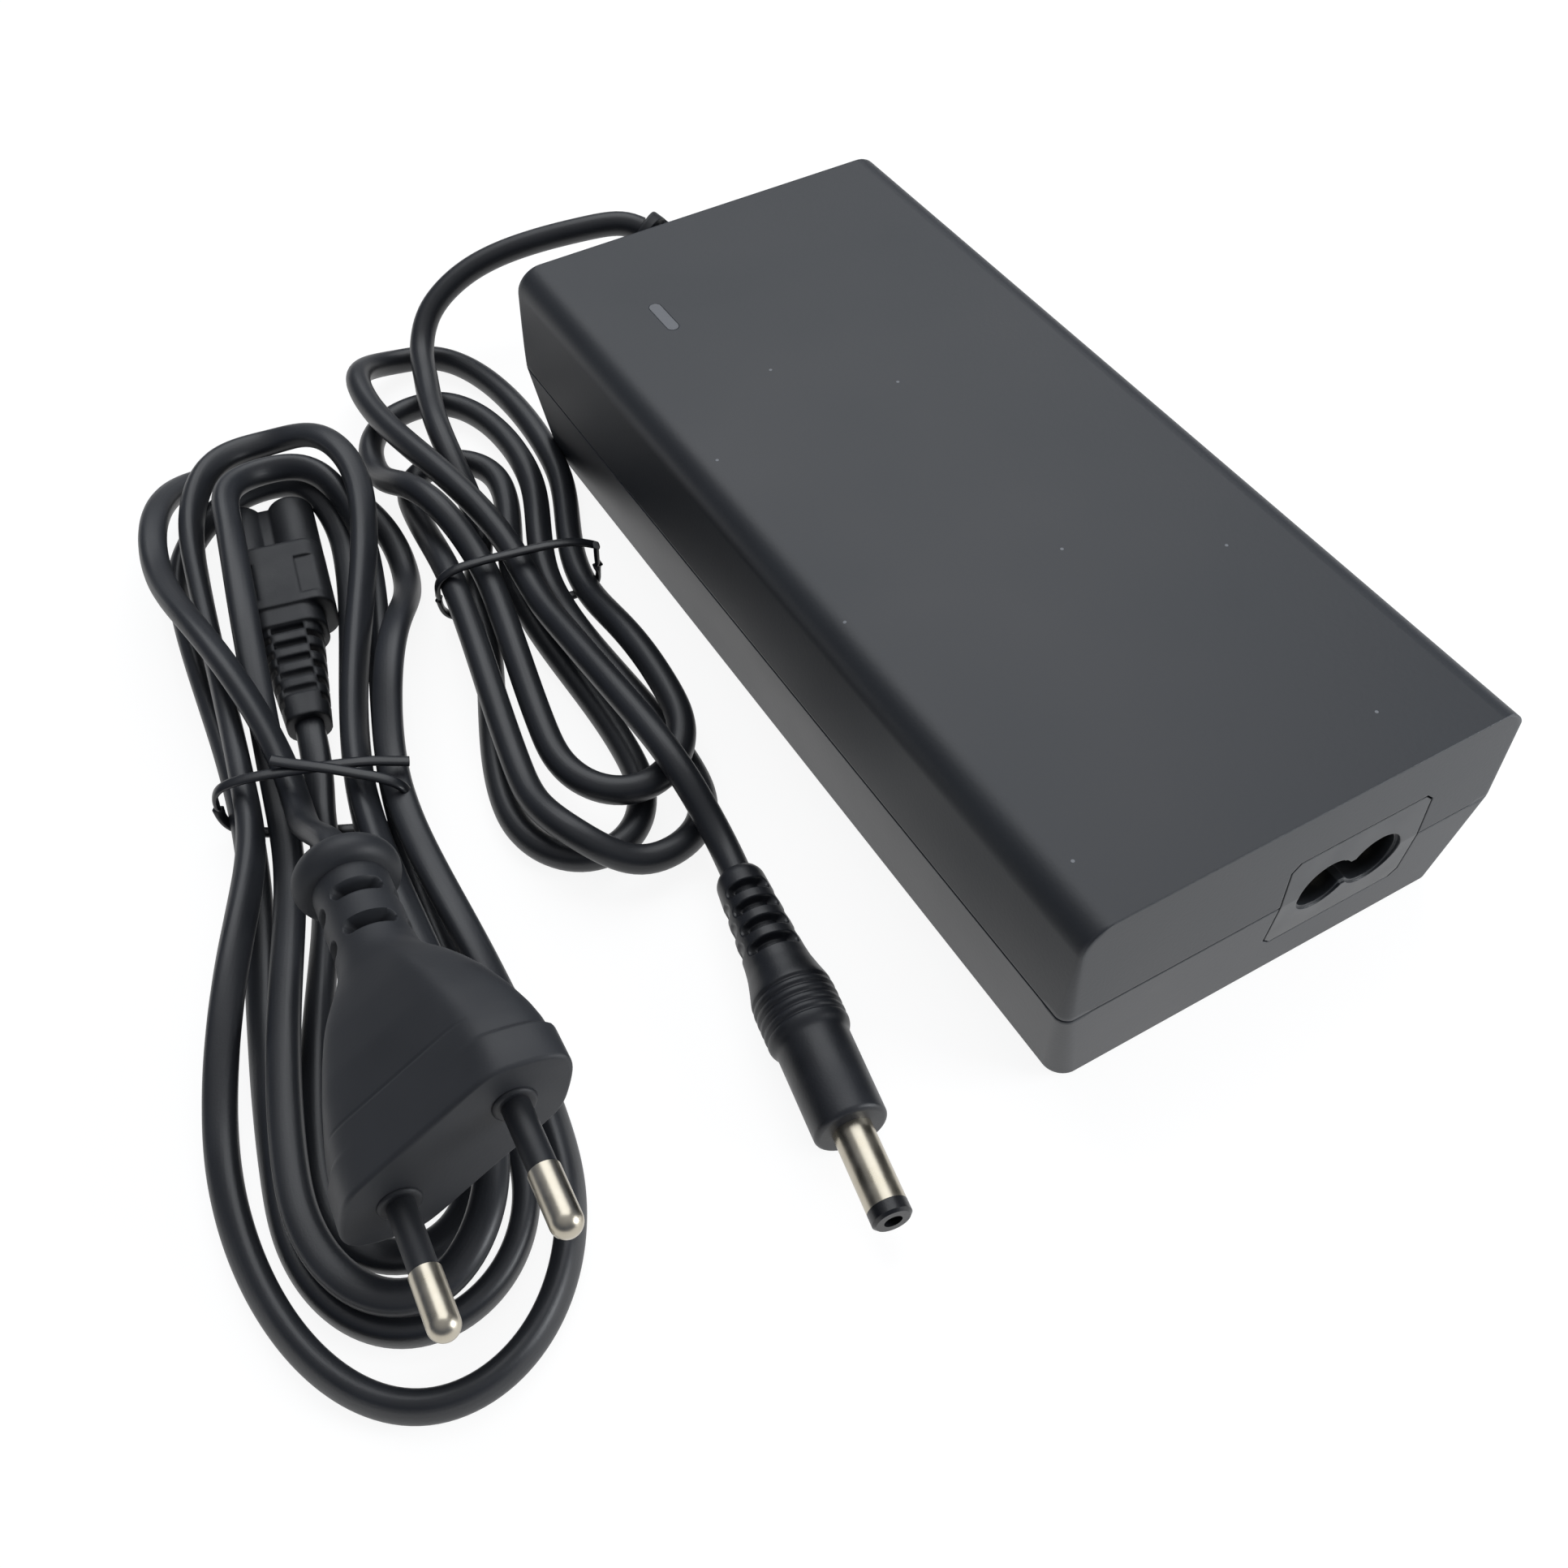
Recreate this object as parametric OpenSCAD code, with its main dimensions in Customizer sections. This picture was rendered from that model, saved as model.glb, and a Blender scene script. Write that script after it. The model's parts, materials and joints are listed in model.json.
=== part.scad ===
// Laptop power adapter with a tied output lead and a tied mains lead.
// Millimetres. The housing stands on z = 0, centred on the origin, long side along Y.
// The inlet end faces -Y, the output lead leaves the +Y end.

/* [Housing] */
// Width of the housing at the seam
case_w = 74; // [70:0.5:84]
// Length of the housing at the seam
case_l = 159; // [156:0.5:180]
// Height of the housing
case_h = 37.4; // [36:0.2:46]
// Height of the seam between the two shells
seam_z = 19.2; // [18.4:0.1:20.4]
// Wall of the top and the sides
wall = 2.2; // [1.6:0.1:2.6]
// Wall of the two ends
end_wall = 3.4; // [2.6:0.1:4]
// Radius of the two long top edges
top_edge_r = 4.6; // [2.6:0.1:6]
// Radius of the four upright edges
corner_r = 1.8; // [0.8:0.1:3]
// How far each long side leans in towards the bottom
taper_x = 2.8; // [1:0.1:3.4]
// How far each end leans in towards the bottom
taper_y = 1.7; // [0.6:0.1:2]
// How far each long side leans in towards the top
draft_x = 0.8; // [0.2:0.1:1.4]
// How far each end leans in towards the top
draft_y = 0.2; // [0.1:0.1:0.6]
// Chamfer round the bottom face
foot_edge = 1.2; // [0.4:0.1:1.8]
// Width and depth of the shadow line at the seam
seam_line = 0.4; // [0.2:0.1:0.6]
// Height of the tongue that rises inside the top shell
tongue_h = 1.6; // [0.8:0.1:2.4]
// Thickness of the tongue
tongue_t = 1; // [0.6:0.1:1.4]

/* [Inlet] */
// Width of the inlet's face
inlet_w = 24; // [22:0.2:27]
// Height of the inlet's face
inlet_h = 18.2; // [16:0.2:20]
// Distance of the inlet's centre from the housing's centre
inlet_x = 10.6; // [6:0.2:12]
// Height of the inlet's centre
inlet_z = 18.7; // [18:0.1:19.4]
// Depth of the inlet block
inlet_d = 18; // [17:0.2:19]
// Distance between the two pins
pin_pitch = 8.6; // [8.4:0.1:8.8]
// Radius of each round end of the socket
socket_r = 4.3; // [4.2:0.05:4.6]
// Height of the socket's waist
socket_waist = 4.6; // [4.2:0.1:6]
// Depth of the socket
socket_d = 14; // [12:0.2:15]
// Diameter of the inlet pins
inlet_pin_d = 2.4; // [2.2:0.05:2.6]
// Length of the inlet pins in the socket
inlet_pin_l = 9.6; // [8:0.2:11]
// Gap round the inlet's face
inlet_gap = 0.3; // [0.15:0.05:0.4]

/* [Indicator] */
// Distance of the indicator from the housing's centre
led_x = -20.6; // [-22:0.2:-19]
// Distance of the indicator from the output end
led_in = 24.3; // [21:0.1:28]
// Width of the indicator window
led_w = 2; // [1.6:0.1:3]
// Length of the indicator window
led_l = 8; // [5:0.2:10]

/* [Output lead] */
// Diameter of the output lead
dc_d = 4.5; // [4:0.1:4.6]
// Diameter of the bend relief at the housing
relief_base_d = 10; // [9:0.2:12]
// Diameter of the bend relief at its tip
relief_tip_d = 8.2; // [7.4:0.1:8.6]
// Length of the bend relief outside the housing
relief_l = 24; // [20:0.5:26]
// Length of the relief's straight part
relief_root_l = 14; // [12:0.5:17]
// Angle of the relief's bent part
relief_bend = 45; // [20:5:60]
// Distance of the relief from the housing's centre
relief_x = 1.5; // [0:0.1:3]
// Number of slot pairs in the bend relief
relief_slots = 6; // [3:1:7]
// Largest diameter of the output plug
dc_plug_d = 11.8; // [11:0.2:12.4]
// Diameter of the output plug's grip
dc_grip_d = 10.3; // [9.6:0.1:11]
// Diameter of the output plug's neck
dc_neck_d = 9; // [8.4:0.1:9.8]
// Diameter of the output plug's sleeve where the lead enters
dc_sleeve_d = 7; // [6.6:0.1:7.6]
// Length of the output plug's slotted sleeve
dc_sleeve_l = 18; // [14:0.5:20]
// Length of the ringed collar
dc_collar_l = 11; // [9:0.5:12]
// Length of the grip
dc_grip_l = 14.5; // [12:0.5:16]
// Diameter of the barrel
barrel_d = 5.5; // [5.4:0.05:5.6]
// Length of the barrel with its black tip
barrel_l = 13.5; // [9.5:0.5:14]
// Bore of the barrel
barrel_bore = 2.5; // [2.1:0.1:2.9]

/* [Mains lead] */
// Diameter of the mains lead
ac_d = 4.3; // [3.8:0.1:4.4]
// Width of the two-hole connector
c7_w = 16.5; // [16.2:0.1:16.9]
// Thickness of the connector's grip
c7_t = 8.8; // [8.2:0.1:9]
// Length of the connector's nose
c7_nose_l = 12; // [10:0.5:13]
// Length of the connector's grip
c7_grip_l = 15; // [13:0.5:16]
// Length of the connector's slotted sleeve
c7_sleeve_l = 24; // [20:0.5:25]
// Bore of the connector's contacts
contact_bore = 2.5; // [2.4:0.05:2.8]
// Depth of the connector's contacts
contact_l = 11; // [9:0.5:11.5]
// Width of the mains plug at its face
plug_w = 35.3; // [34:0.1:36]
// Thickness of the mains plug
plug_t = 13.7; // [13:0.1:14]
// Length of the mains plug's body without its neck
plug_l = 34; // [31:0.5:35]
// Distance between the mains plug's pins
plug_pitch = 18.6; // [17.6:0.1:19]
// Diameter of the mains plug's pins
plug_pin_d = 4; // [3.9:0.05:4.1]
// Length of the mains plug's pins
plug_pin_l = 19; // [18:0.5:19.5]
// Length of the insulating sleeve on each pin
plug_sleeve_l = 10; // [9:0.5:11]
// Outer radius of the ring at the back of the mains plug
plug_ring_r = 7.4; // [7:0.1:7.6]
// Diameter of the mains plug's neck
plug_neck_d = 10.6; // [10:0.1:11]

/* [Ties] */
// Width of each wire tie
tie_w = 3; // [2:0.2:4]
// Thickness of each wire tie
tie_t = 0.8; // [0.6:0.1:0.9]
// Inner height of the tie on the output lead
dc_tie_h = 10.2; // [10.1:0.1:11]
// Inner height of the tie on the mains lead
ac_tie_h = 10.5; // [10.4:0.1:11.4]

/* [Circuit board] */
// Thickness of the board
board_t = 1.6; // [1:0.1:2]
// Height of the bosses under the board
boss_h = 3.8; // [3:0.1:4]
// Room between the board's edge and the housing's side at the seam
board_side_gap = 6; // [5.6:0.1:7]
// Room between the board and each end wall
board_end_gap = 3.1; // [2:0.1:5]
// Distance of the bosses' centres from the board's edges
boss_in = 5; // [4.4:0.1:5.2]
// Diameter of the bosses' pegs
peg_d = 2.4; // [2:0.1:2.6]
// Diameter of the large reservoir capacitor
bulk_d = 18; // [16:0.5:18]
// Length of the large reservoir capacitor
bulk_l = 34; // [25:0.5:35]
// Width of the transformer
trafo_w = 34; // [30:0.5:35]
// Length of the transformer
trafo_l = 32; // [28:0.5:34]
// Height of the transformer
trafo_h = 24; // [20:0.5:25]
// Outer diameter of the mains choke's core
choke_d = 23; // [20:0.5:24]
// Thickness of the heatsinks
sink_t = 2; // [1.5:0.1:2.5]
// Height of the heatsinks
sink_h = 21; // [18:0.5:23]
// Length of the heatsink on the mains side
sink_one_l = 62; // [50:1:66]
// Length of the heatsink on the output side
sink_two_l = 42; // [30:1:44]
// Length of the foot of each heatsink
sink_foot = 6; // [4:0.5:7]
// Length of the mains filter capacitor
x_cap_l = 18; // [14:0.5:20]
// Thickness of the mains filter capacitor
x_cap_t = 9; // [7:0.5:10]
// Height of the mains filter capacitor
x_cap_h = 16; // [12:0.5:18]
// Width of the bridge rectifier
bridge_w = 22; // [18:0.5:24]
// Thickness of the bridge rectifier
bridge_t = 4; // [3:0.1:4.6]
// Height of the bridge rectifier
bridge_h = 15; // [12:0.5:18]
// Length of the fuse
fuse_l = 20; // [16:0.5:22]
// Diameter of the fuse's caps
fuse_d = 5.4; // [4.6:0.1:6]
// Diameter of the output capacitors
out_cap_d = 10; // [8:0.5:11]
// Height of the output capacitors
out_cap_h = 20; // [16:0.5:23]
// Distance between the two output capacitors
out_cap_pitch = 13; // [12:0.5:15]
// Gap between neighbours on the board
part_gap = 4.6; // [3.6:0.1:5.4]

/* [Hidden] */
$fn = 64;
eps = 0.01;
// clearance of a loose fit, and of a close one
gap = 0.15;
fit = 0.05;
// how much thinner a pin's moulded-in root is than the pin
root_step = 0.4;
// how far the plane of the relief's bend is turned up from level
relief_roll = 40;
case_r = case_l / 2;
led_y = case_r - led_in;
board_w = case_w - 2 * board_side_gap;
board_l = case_l - 2 * (end_wall + board_end_gap);
board_z = wall + boss_h;
board_top = board_z + board_t;
// inner half width at the seam and above it
room_w = case_w / 2 - draft_x - wall;
room_l = case_r - end_wall;
char = [0.30, 0.31, 0.33];
black = [0.13, 0.13, 0.14];
nickel = [0.80, 0.78, 0.72];
copper = [0.72, 0.42, 0.22];

// ---------- cord forms ----------
// place of each bundle's tie on the table and the turn of the bundle
dc_at = [-56.8, 43];
dc_turn = 8.5;
ac_at = [-102.6, 14];
ac_turn = 12;
// rings on each quarter of a loop
per_piece = 3;
// waist crossings [across, height]
dc_waist = [[-7.5, 3.2], [-0.2, 3.2], [-10.5, 8.2], [5.2, 3.2], [-4.8, 8.2], [10.5, 3.2], [1, 8.2]];
// each half loop: first side, end, second side [across, along, height]
dc_bights = [
    [[-15, -43.7, 2.2], [-4.5, -57.5, 2.2], [5.5, -44, 2.2]],
    [[4.9, 29.4, 2.2], [-3.5, 39.1, 2.2], [-11.3, 31.4, 2.2]],
    [[-11.9, -43.9, 7.3], [2, -62.5, 4], [13.4, -50.3, 2.2]],
    [[10.1, 29.5, 3.1], [-2, 56.8, 2.2], [-15.3, 40.7, 4.2]],
    [[-6.1, -38, 7.2], [3.7, -51.7, 7.4], [14.4, -37.9, 7.4]],
    [[15.5, 30.5, 2.2], [-0.5, 71.5, 2.2], [-12.9, 58.8, 8.4]]];
// rise of each half loop's four pieces over its neighbours
dc_humps = [[0, 0, 0, 0], [0, 0, 0, 0], [0.2, 2.9, 0, 0], [0.6, 0, 0, 6], [0, 0, 0, 1.8],
    [0, 0, 0, 1.4]];
dc_head = [[0.2, 64, 7.8], [-0.4, 59.5, 7.6], [-1.5, 52, 7.4], [-2.4, 41, 7.9], [-2.2, 34, 6.6],
    [-1.6, 26, 3.6], [-2.4, 17, 2.5], [-5.6, 7, 2.9]];
dc_tail = [[1, 0, 8.2], [1.6, -9, 8.6], [3.2, -20, 10.2], [5.2, -32, 11.8], [7.1, -42, 12.6],
    [8.6, -50, 12.8], [10, -56.5, 11], [11.2, -61.5, 7.8], [11.8, -67.2, dc_plug_d / 2],
    [11.7, -71.5, dc_plug_d / 2]];
dc_free = [[-4.6, 105.2, 22.6], [-7.6, 106.7, 22.3], [-11.3, 108.4, 21.6], [-15.2, 110.2, 20.8],
    [-20.2, 112.2, 19.7], [-26.6, 114, 18.2], [-32.3, 114.7, 16.5], [-37.4, 114.2, 14.5],
    [-41.8, 112.9, 12.1]];

ac_waist = [[-0.6, 3.1], [6, 3.1], [-11.4, 3.1], [11, 3.1], [-6.1, 3.1], [6.5, 7.9],
    [-10.2, 7.9], [11.5, 7.9], [-3.3, 7.9]];
ac_bights = [
    [[-10.1, -60.5, 2.2], [-0.1, -73.3, 2.4], [9.2, -62.8, 2.2]],
    [[12.6, 61.5, 2.2], [2.8, 77.4, 4.8], [-15.7, 56.7, 2.2]],
    [[-15.5, -61.3, 2.2], [-0.3, -83.3, 2.2], [15.3, -64.8, 2.2]],
    [[16.2, 55.4, 5.2], [5.3, 74.8, 10.3], [-4.6, 65.3, 13]],
    [[-12.8, -61.8, 7.1], [-0.5, -80.9, 6.9], [12.2, -60.8, 7.7]],
    [[17.6, 64.8, 11.9], [2.1, 85, 8], [-11.8, 60.9, 7.5]],
    [[-21.6, -54, 2.7], [0.2, -92.9, 2.2], [20.6, -64.9, 2.3]],
    [[21.4, 50.9, 2.2], [-5.9, 86, 2.2], [-17.7, 59.6, 10.2]]];
ac_humps = [[0.2, 0, 0, 0], [0, 1.8, 0, 0], [0, 0, 0, 0], [0.5, 1.7, 0, 2.1],
    [1.8, 0, 0.9, 1.5], [0.6, 2, 1.5, 0.3], [3, 0, 0, 3.2], [6.8, 0, 0.3, 5.3]];

// ---------- helpers ----------
function rot_x(p, a) = [p.x, p.y * cos(a) - p.z * sin(a), p.y * sin(a) + p.z * cos(a)];
function rot_y(p, a) = [p.x * cos(a) + p.z * sin(a), p.y, -p.x * sin(a) + p.z * cos(a)];
function rot_z(p, a) = [p.x * cos(a) - p.y * sin(a), p.x * sin(a) + p.y * cos(a), p.z];
function unit(v) = v / norm(v);
function ease(t) = t * t * (3 - 2 * t);
function hump(h, t) = h * pow(sin(180 * t), 2);
// a bundle's own frame onto the table
function on_table(p, at, turn) = rot_z(p, -turn) + [at.x, at.y, 0];
function spread(pts, at, turn) = [for (p = pts) on_table(p, at, turn)];
// one half loop from waist a round the end of b to the waist again
function half_loop(a, b, c, h, n, lo) = let (s = b[0], m = b[1], e = b[2]) concat(
    [for (i = [0 : n - 1]) let (t = i / n) [a[0] + (s.x - a[0]) * ease(t), s.y * t,
        a[1] + (max(s.z, lo) - a[1]) * ease(t) + hump(h[0], t)]],
    [for (i = [0 : n - 1]) let (t = i / n)
        [s.x + (m.x - s.x) * (1 - cos(90 * t)), s.y + (m.y - s.y) * sin(90 * t),
            max(s.z, lo) + (max(m.z, lo) - max(s.z, lo)) * ease(t) + hump(h[1], t)]],
    [for (i = [0 : n - 1]) let (t = i / n)
        [m.x + (e.x - m.x) * sin(90 * t), e.y + (m.y - e.y) * cos(90 * t),
            max(m.z, lo) + (max(e.z, lo) - max(m.z, lo)) * ease(t) + hump(h[2], t)]],
    [for (i = [0 : n - 1]) let (t = i / n)
        [e.x + (c[0] - e.x) * ease(t), e.y * (1 - t),
            max(e.z, lo) + (c[1] - max(e.z, lo)) * ease(t) + hump(h[3], t)]]);
function loops(waist, bights, humps, n, lo) = [for (k = [0 : len(bights) - 1])
    each half_loop(waist[k], bights[k], waist[k + 1], humps[k], n, lo)];
// direction of a path at ring i
function aim(p, i) = let (n = len(p) - 1)
    i == 0 ? unit(p[1] - p[0]) : i == n ? unit(p[n] - p[n - 1])
    : unit(unit(p[i] - p[i - 1]) + unit(p[i + 1] - p[i]));
// one ring of s points round ring centre i
function ring(p, i, d, s) = let (t = aim(p, i), x = unit(cross([0, 0, 1], t)), y = cross(t, x))
    [for (k = [0 : s - 1]) let (a = 360 * (k + 0.5) / s + 90 - 180 / s)
        p[i] + d / 2 * (cos(a) * x + sin(a) * y)];
// one unbroken tube through the points p
module tube(p, d, s) {
    n = len(p);
    pts = [for (i = [0 : n - 1]) each ring(p, i, d, s)];
    sides = [for (i = [0 : n - 2]) for (k = [0 : s - 1])
        let (a = i * s + k, b = i * s + (k + 1) % s)
        each [[a, b + s, b], [a, a + s, b + s]]];
    first = [for (k = [1 : s - 2]) [0, k, k + 1]];
    last = [for (k = [1 : s - 2]) [(n - 1) * s, (n - 1) * s + k + 1, (n - 1) * s + k]];
    polyhedron(points = pts, faces = concat(sides, first, last), convexity = 10);
}
// least distance between the surfaces of a tube's runs, from points a tenth of a ring step apart
function near(p, i, j) = min([for (a = [0 : 0.1 : 1]) for (b = [0 : 0.1 : 1])
    norm(p[i] * (1 - a) + p[i + 1] * a - p[j] * (1 - b) - p[j + 1] * b)]);
function least_gap(p, d) = min([for (i = [0 : len(p) - 5]) for (j = [i + 3 : len(p) - 2])
    let (r = (norm(p[i + 1] - p[i]) + norm(p[j + 1] - p[j])) / 2)
    if (norm(p[i] + p[i + 1] - p[j] - p[j + 1]) / 2 < r + d + 1) near(p, i, j)]) - d;
function span(p) = [for (i = [0 : len(p) - 2]) norm(p[i + 1] - p[i])];
function total(v, i = 0) = i == len(v) ? 0 : v[i] + total(v, i + 1);

dc_hank_path = spread(concat(dc_head, loops(dc_waist, dc_bights, dc_humps, per_piece, dc_d / 2),
    dc_tail), dc_at, dc_turn);
dc_start = dc_hank_path[0];
// the free stretch leaves the tip of the bent relief along its axis
relief_r = (relief_l - relief_root_l) / relief_bend * 180 / PI;
relief_side = [-cos(relief_roll), 0, sin(relief_roll)];
relief_aim = [0, cos(relief_bend), 0] + sin(relief_bend) * relief_side;
relief_tip = [relief_x, case_r + relief_root_l + relief_r * sin(relief_bend), seam_z]
    + relief_r * (1 - cos(relief_bend)) * relief_side;
dc_free_path = concat([relief_tip, relief_tip + 0.4 * dc_d * relief_aim], dc_free,
    [dc_start + dc_d * unit(dc_start - dc_hank_path[1]), dc_start]);
// the output plug lies on the table at the hank's end, along its last step
dc_end = dc_hank_path[len(dc_hank_path) - 1];
dc_aim = unit(dc_end - dc_hank_path[len(dc_hank_path) - 2]);
dc_heading = atan2(dc_aim.y, dc_aim.x);

// the connector lies flat, its nose up the bundle
c7_at = [0.7, 42, c7_t / 2];
// the mains plug rests across the bundle: its face centre, heading, lift and roll
plug_at = [8.25, -73.46, 24.2];
plug_heading = 7;
plug_lift = 4.8;
plug_roll = 31.6;
plug_neck_l = 11;
plug_back = plug_l + plug_neck_l + 5;
function in_bundle(p) = rot_z(rot_x(rot_y(p, -plug_roll), -plug_lift), plug_heading) + plug_at;
ac_head = [[c7_at.x, c7_at.y - c7_sleeve_l, c7_at.z], [c7_at.x, c7_at.y - c7_sleeve_l - ac_d, c7_at.z],
    [0.3, 7, 3.7]];
ac_tail = [[-3.1, 0, 7.9], [-2.6, -6, 10], [-0.9, -13, 15.4],
    in_bundle([0, plug_back + ac_d, 0]), in_bundle([0, plug_back, 0])];
ac_hank_path = spread(concat(ac_head, loops(ac_waist, ac_bights, ac_humps, per_piece, ac_d / 2),
    ac_tail), ac_at, ac_turn);

// ---------- housing ----------
// end view of the outer form
module case_front() {
    w = case_w / 2;
    t = w - draft_x;
    polygon([[-w + taper_x + foot_edge, 0], [w - taper_x - foot_edge, 0], [w - taper_x + 0.2, foot_edge],
        [w, seam_z], [t, case_h - top_edge_r], [-t, case_h - top_edge_r], [-w, seam_z],
        [-w + taper_x - 0.2, foot_edge]]);
    translate([-t + top_edge_r, seam_z]) square([2 * (t - top_edge_r), case_h - seam_z]);
    for (s = [-1, 1]) translate([s * (t - top_edge_r), case_h - top_edge_r]) circle(top_edge_r);
}
// side view of the outer form
module case_side() {
    polygon([[-case_r + taper_y + foot_edge, 0], [case_r - taper_y - foot_edge, 0],
        [case_r - taper_y + 0.1, foot_edge], [case_r, seam_z], [case_r - draft_y, case_h],
        [-case_r + draft_y, case_h], [-case_r, seam_z], [-case_r + taper_y - 0.1, foot_edge]]);
}
module round_rect(w, l, r) {
    square([w - 2 * r, l], center = true);
    square([w, l - 2 * r], center = true);
    for (x = [-1, 1]) for (y = [-1, 1]) translate([x * (w / 2 - r), y * (l / 2 - r)]) circle(r);
}
module case_form() intersection() {
    rotate([90, 0, 0]) linear_extrude(case_l + 2, center = true) case_front();
    rotate([90, 0, 90]) linear_extrude(case_w + 2, center = true) case_side();
    linear_extrude(case_h) round_rect(case_w, case_l, corner_r);
}
// room above the seam
module upper_room() {
    r = top_edge_r - wall + 0.6;
    h = case_h - wall;
    rotate([90, 0, 0]) linear_extrude(2 * room_l, center = true) {
        translate([-room_w, seam_z - 1]) square([2 * room_w, h - r - seam_z + 1]);
        translate([-room_w + r, seam_z - 1]) square([2 * (room_w - r), h - seam_z + 1]);
        for (s = [-1, 1]) translate([s * (room_w - r), h - r]) circle(r);
    }
}
// room below the seam, narrowed under the tongue
module lower_room() {
    b = case_w / 2 - taper_x - wall + 0.3;
    n = room_w - gap - tongue_t;
    rotate([90, 0, 0]) linear_extrude(2 * room_l, center = true) polygon([[-b, wall], [b, wall],
        [room_w, seam_z - 4], [n, seam_z - 3], [n, seam_z + 1], [-n, seam_z + 1], [-n, seam_z - 3],
        [-room_w, seam_z - 4]]);
}
// the two end openings, grown by g
module inlet_hole(g) translate([inlet_x, 0, inlet_z]) rotate([90, 0, 0])
    linear_extrude(case_r + 2) chamfer_rect(inlet_w + 2 * g, inlet_h + 2 * g, 1.2 + g / 2);
module chamfer_rect(w, h, c) polygon([[-w / 2 + c, -h / 2], [w / 2 - c, -h / 2], [w / 2, -h / 2 + c],
    [w / 2, h / 2 - c], [w / 2 - c, h / 2], [-w / 2 + c, h / 2], [-w / 2, h / 2 - c], [-w / 2, -h / 2 + c]]);
relief_neck_d = relief_base_d - 2.4;
module relief_hole() translate([relief_x, room_l - 1, seam_z]) rotate([-90, 0, 0])
    cylinder(h = end_wall + 4, d = relief_neck_d + 2 * fit);
module seam_ring(h) difference() {
    linear_extrude(h) square([case_w + 2, case_l + 2], center = true);
    translate([0, 0, -1]) linear_extrude(h + 2)
        round_rect(case_w - 2 * seam_line, case_l - 2 * seam_line, corner_r - seam_line / 2);
}
module top_shell() color(char) difference() {
    intersection() {
        case_form();
        translate([-case_w, -case_l, seam_z]) cube([2 * case_w, 2 * case_l, case_h]);
    }
    upper_room();
    translate([0, 0, seam_z - seam_line / 2]) seam_ring(seam_line);
    inlet_hole(inlet_gap);
    relief_hole();
    translate([led_x, led_y, case_h - wall - 1]) linear_extrude(wall + 2)
        round_rect(led_w + 2 * fit, led_l + 2 * fit, led_w / 2 + fit - eps);
}
boss_x = board_w / 2 - boss_in;
boss_y = board_l / 2 - boss_in - 1;
module bottom_shell() color(char) {
    difference() {
        intersection() {
            case_form();
            translate([-case_w, -case_l, 0]) cube([2 * case_w, 2 * case_l, seam_z]);
        }
        lower_room();
        translate([0, 0, seam_z - seam_line / 2]) seam_ring(seam_line);
        inlet_hole(inlet_gap);
        relief_hole();
    }
    // tongue round the inside, open at the inlet and at the relief
    difference() {
        translate([0, 0, seam_z - eps]) linear_extrude(tongue_h + eps) difference() {
            square([2 * (room_w - gap), 2 * (room_l - gap)], center = true);
            square([2 * (room_w - gap - tongue_t), 2 * (room_l - gap - tongue_t)], center = true);
        }
        translate([inlet_x, -room_l, inlet_z]) cube([inlet_w + 4, 12, inlet_h + 4], center = true);
        translate([relief_x, room_l, seam_z]) cube([relief_base_d + 4, 12, 20], center = true);
    }
    // ledges that carry the tongue at the two ends
    for (s = [-1, 1]) difference() {
        translate([-room_w + tongue_t, s > 0 ? room_l - gap - tongue_t : -room_l - eps, seam_z - 3])
            cube([2 * (room_w - tongue_t), tongue_t + gap + eps, 3]);
        translate([inlet_x, -room_l, inlet_z]) cube([inlet_w + 4, 12, inlet_h + 4], center = true);
        translate([relief_x, room_l, seam_z]) cube([relief_base_d + 4, 12, 20], center = true);
    }
    // bosses under the board, each with a locating peg
    for (x = [-1, 1]) for (y = [-1, 1]) translate([x * boss_x, y * boss_y, wall - eps]) {
        cylinder(h = boss_h + eps, d = 6);
        cylinder(h = boss_h + board_t + 0.8, d = peg_d);
    }
}

// ---------- inlet ----------
module figure_eight(r, waist, pitch) {
    for (s = [-1, 1]) translate([s * pitch / 2, 0]) circle(r);
    square([pitch, waist], center = true);
}
module at_inlet() translate([inlet_x, -case_r, inlet_z]) rotate([-90, 0, 0]) children();
module inlet_block() color(black) difference() {
    // its face is flush with the end wall, above the seam and below it
    intersection() {
        at_inlet() {
            linear_extrude(inlet_d) chamfer_rect(inlet_w, inlet_h, 1.2);
            // shoulder that sits behind the end wall
            translate([0, 0, end_wall + fit]) linear_extrude(2) chamfer_rect(inlet_w + 3, inlet_h + 2.6, 1.2);
        }
        case_form();
    }
    at_inlet() {
        translate([0, 0, -1]) linear_extrude(socket_d + 1) figure_eight(socket_r, socket_waist, pin_pitch);
        // lead-in round the mouth
        translate([0, 0, -1]) linear_extrude(1.7)
            figure_eight(socket_r + 0.4, socket_waist + 0.8, pin_pitch);
        for (s = [-1, 1]) translate([s * pin_pitch / 2, 0, socket_d - 1])
            cylinder(h = inlet_d, d = inlet_pin_d - root_step);
    }
}
module inlet_pins() color(nickel) for (s = [-1, 1]) {
    tip = socket_d - inlet_pin_l;
    nose = inlet_pin_d / 4;
    at_inlet() translate([s * pin_pitch / 2, 0, tip]) {
        translate([0, 0, nose]) cylinder(h = inlet_pin_l - nose, d = inlet_pin_d);
        translate([0, 0, inlet_pin_l - eps])
            cylinder(h = inlet_d + 1 - socket_d + eps, d = inlet_pin_d - root_step);
        cylinder(h = nose + eps, d1 = inlet_pin_d / 2, d2 = inlet_pin_d);
    }
    // tag down into the board
    translate([inlet_x + s * pin_pitch / 2 - 0.9, inlet_d + 0.4 - case_r, board_z - 1])
        cube([1.8, 0.8, inlet_z - board_z + 2.2]);
}

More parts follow.
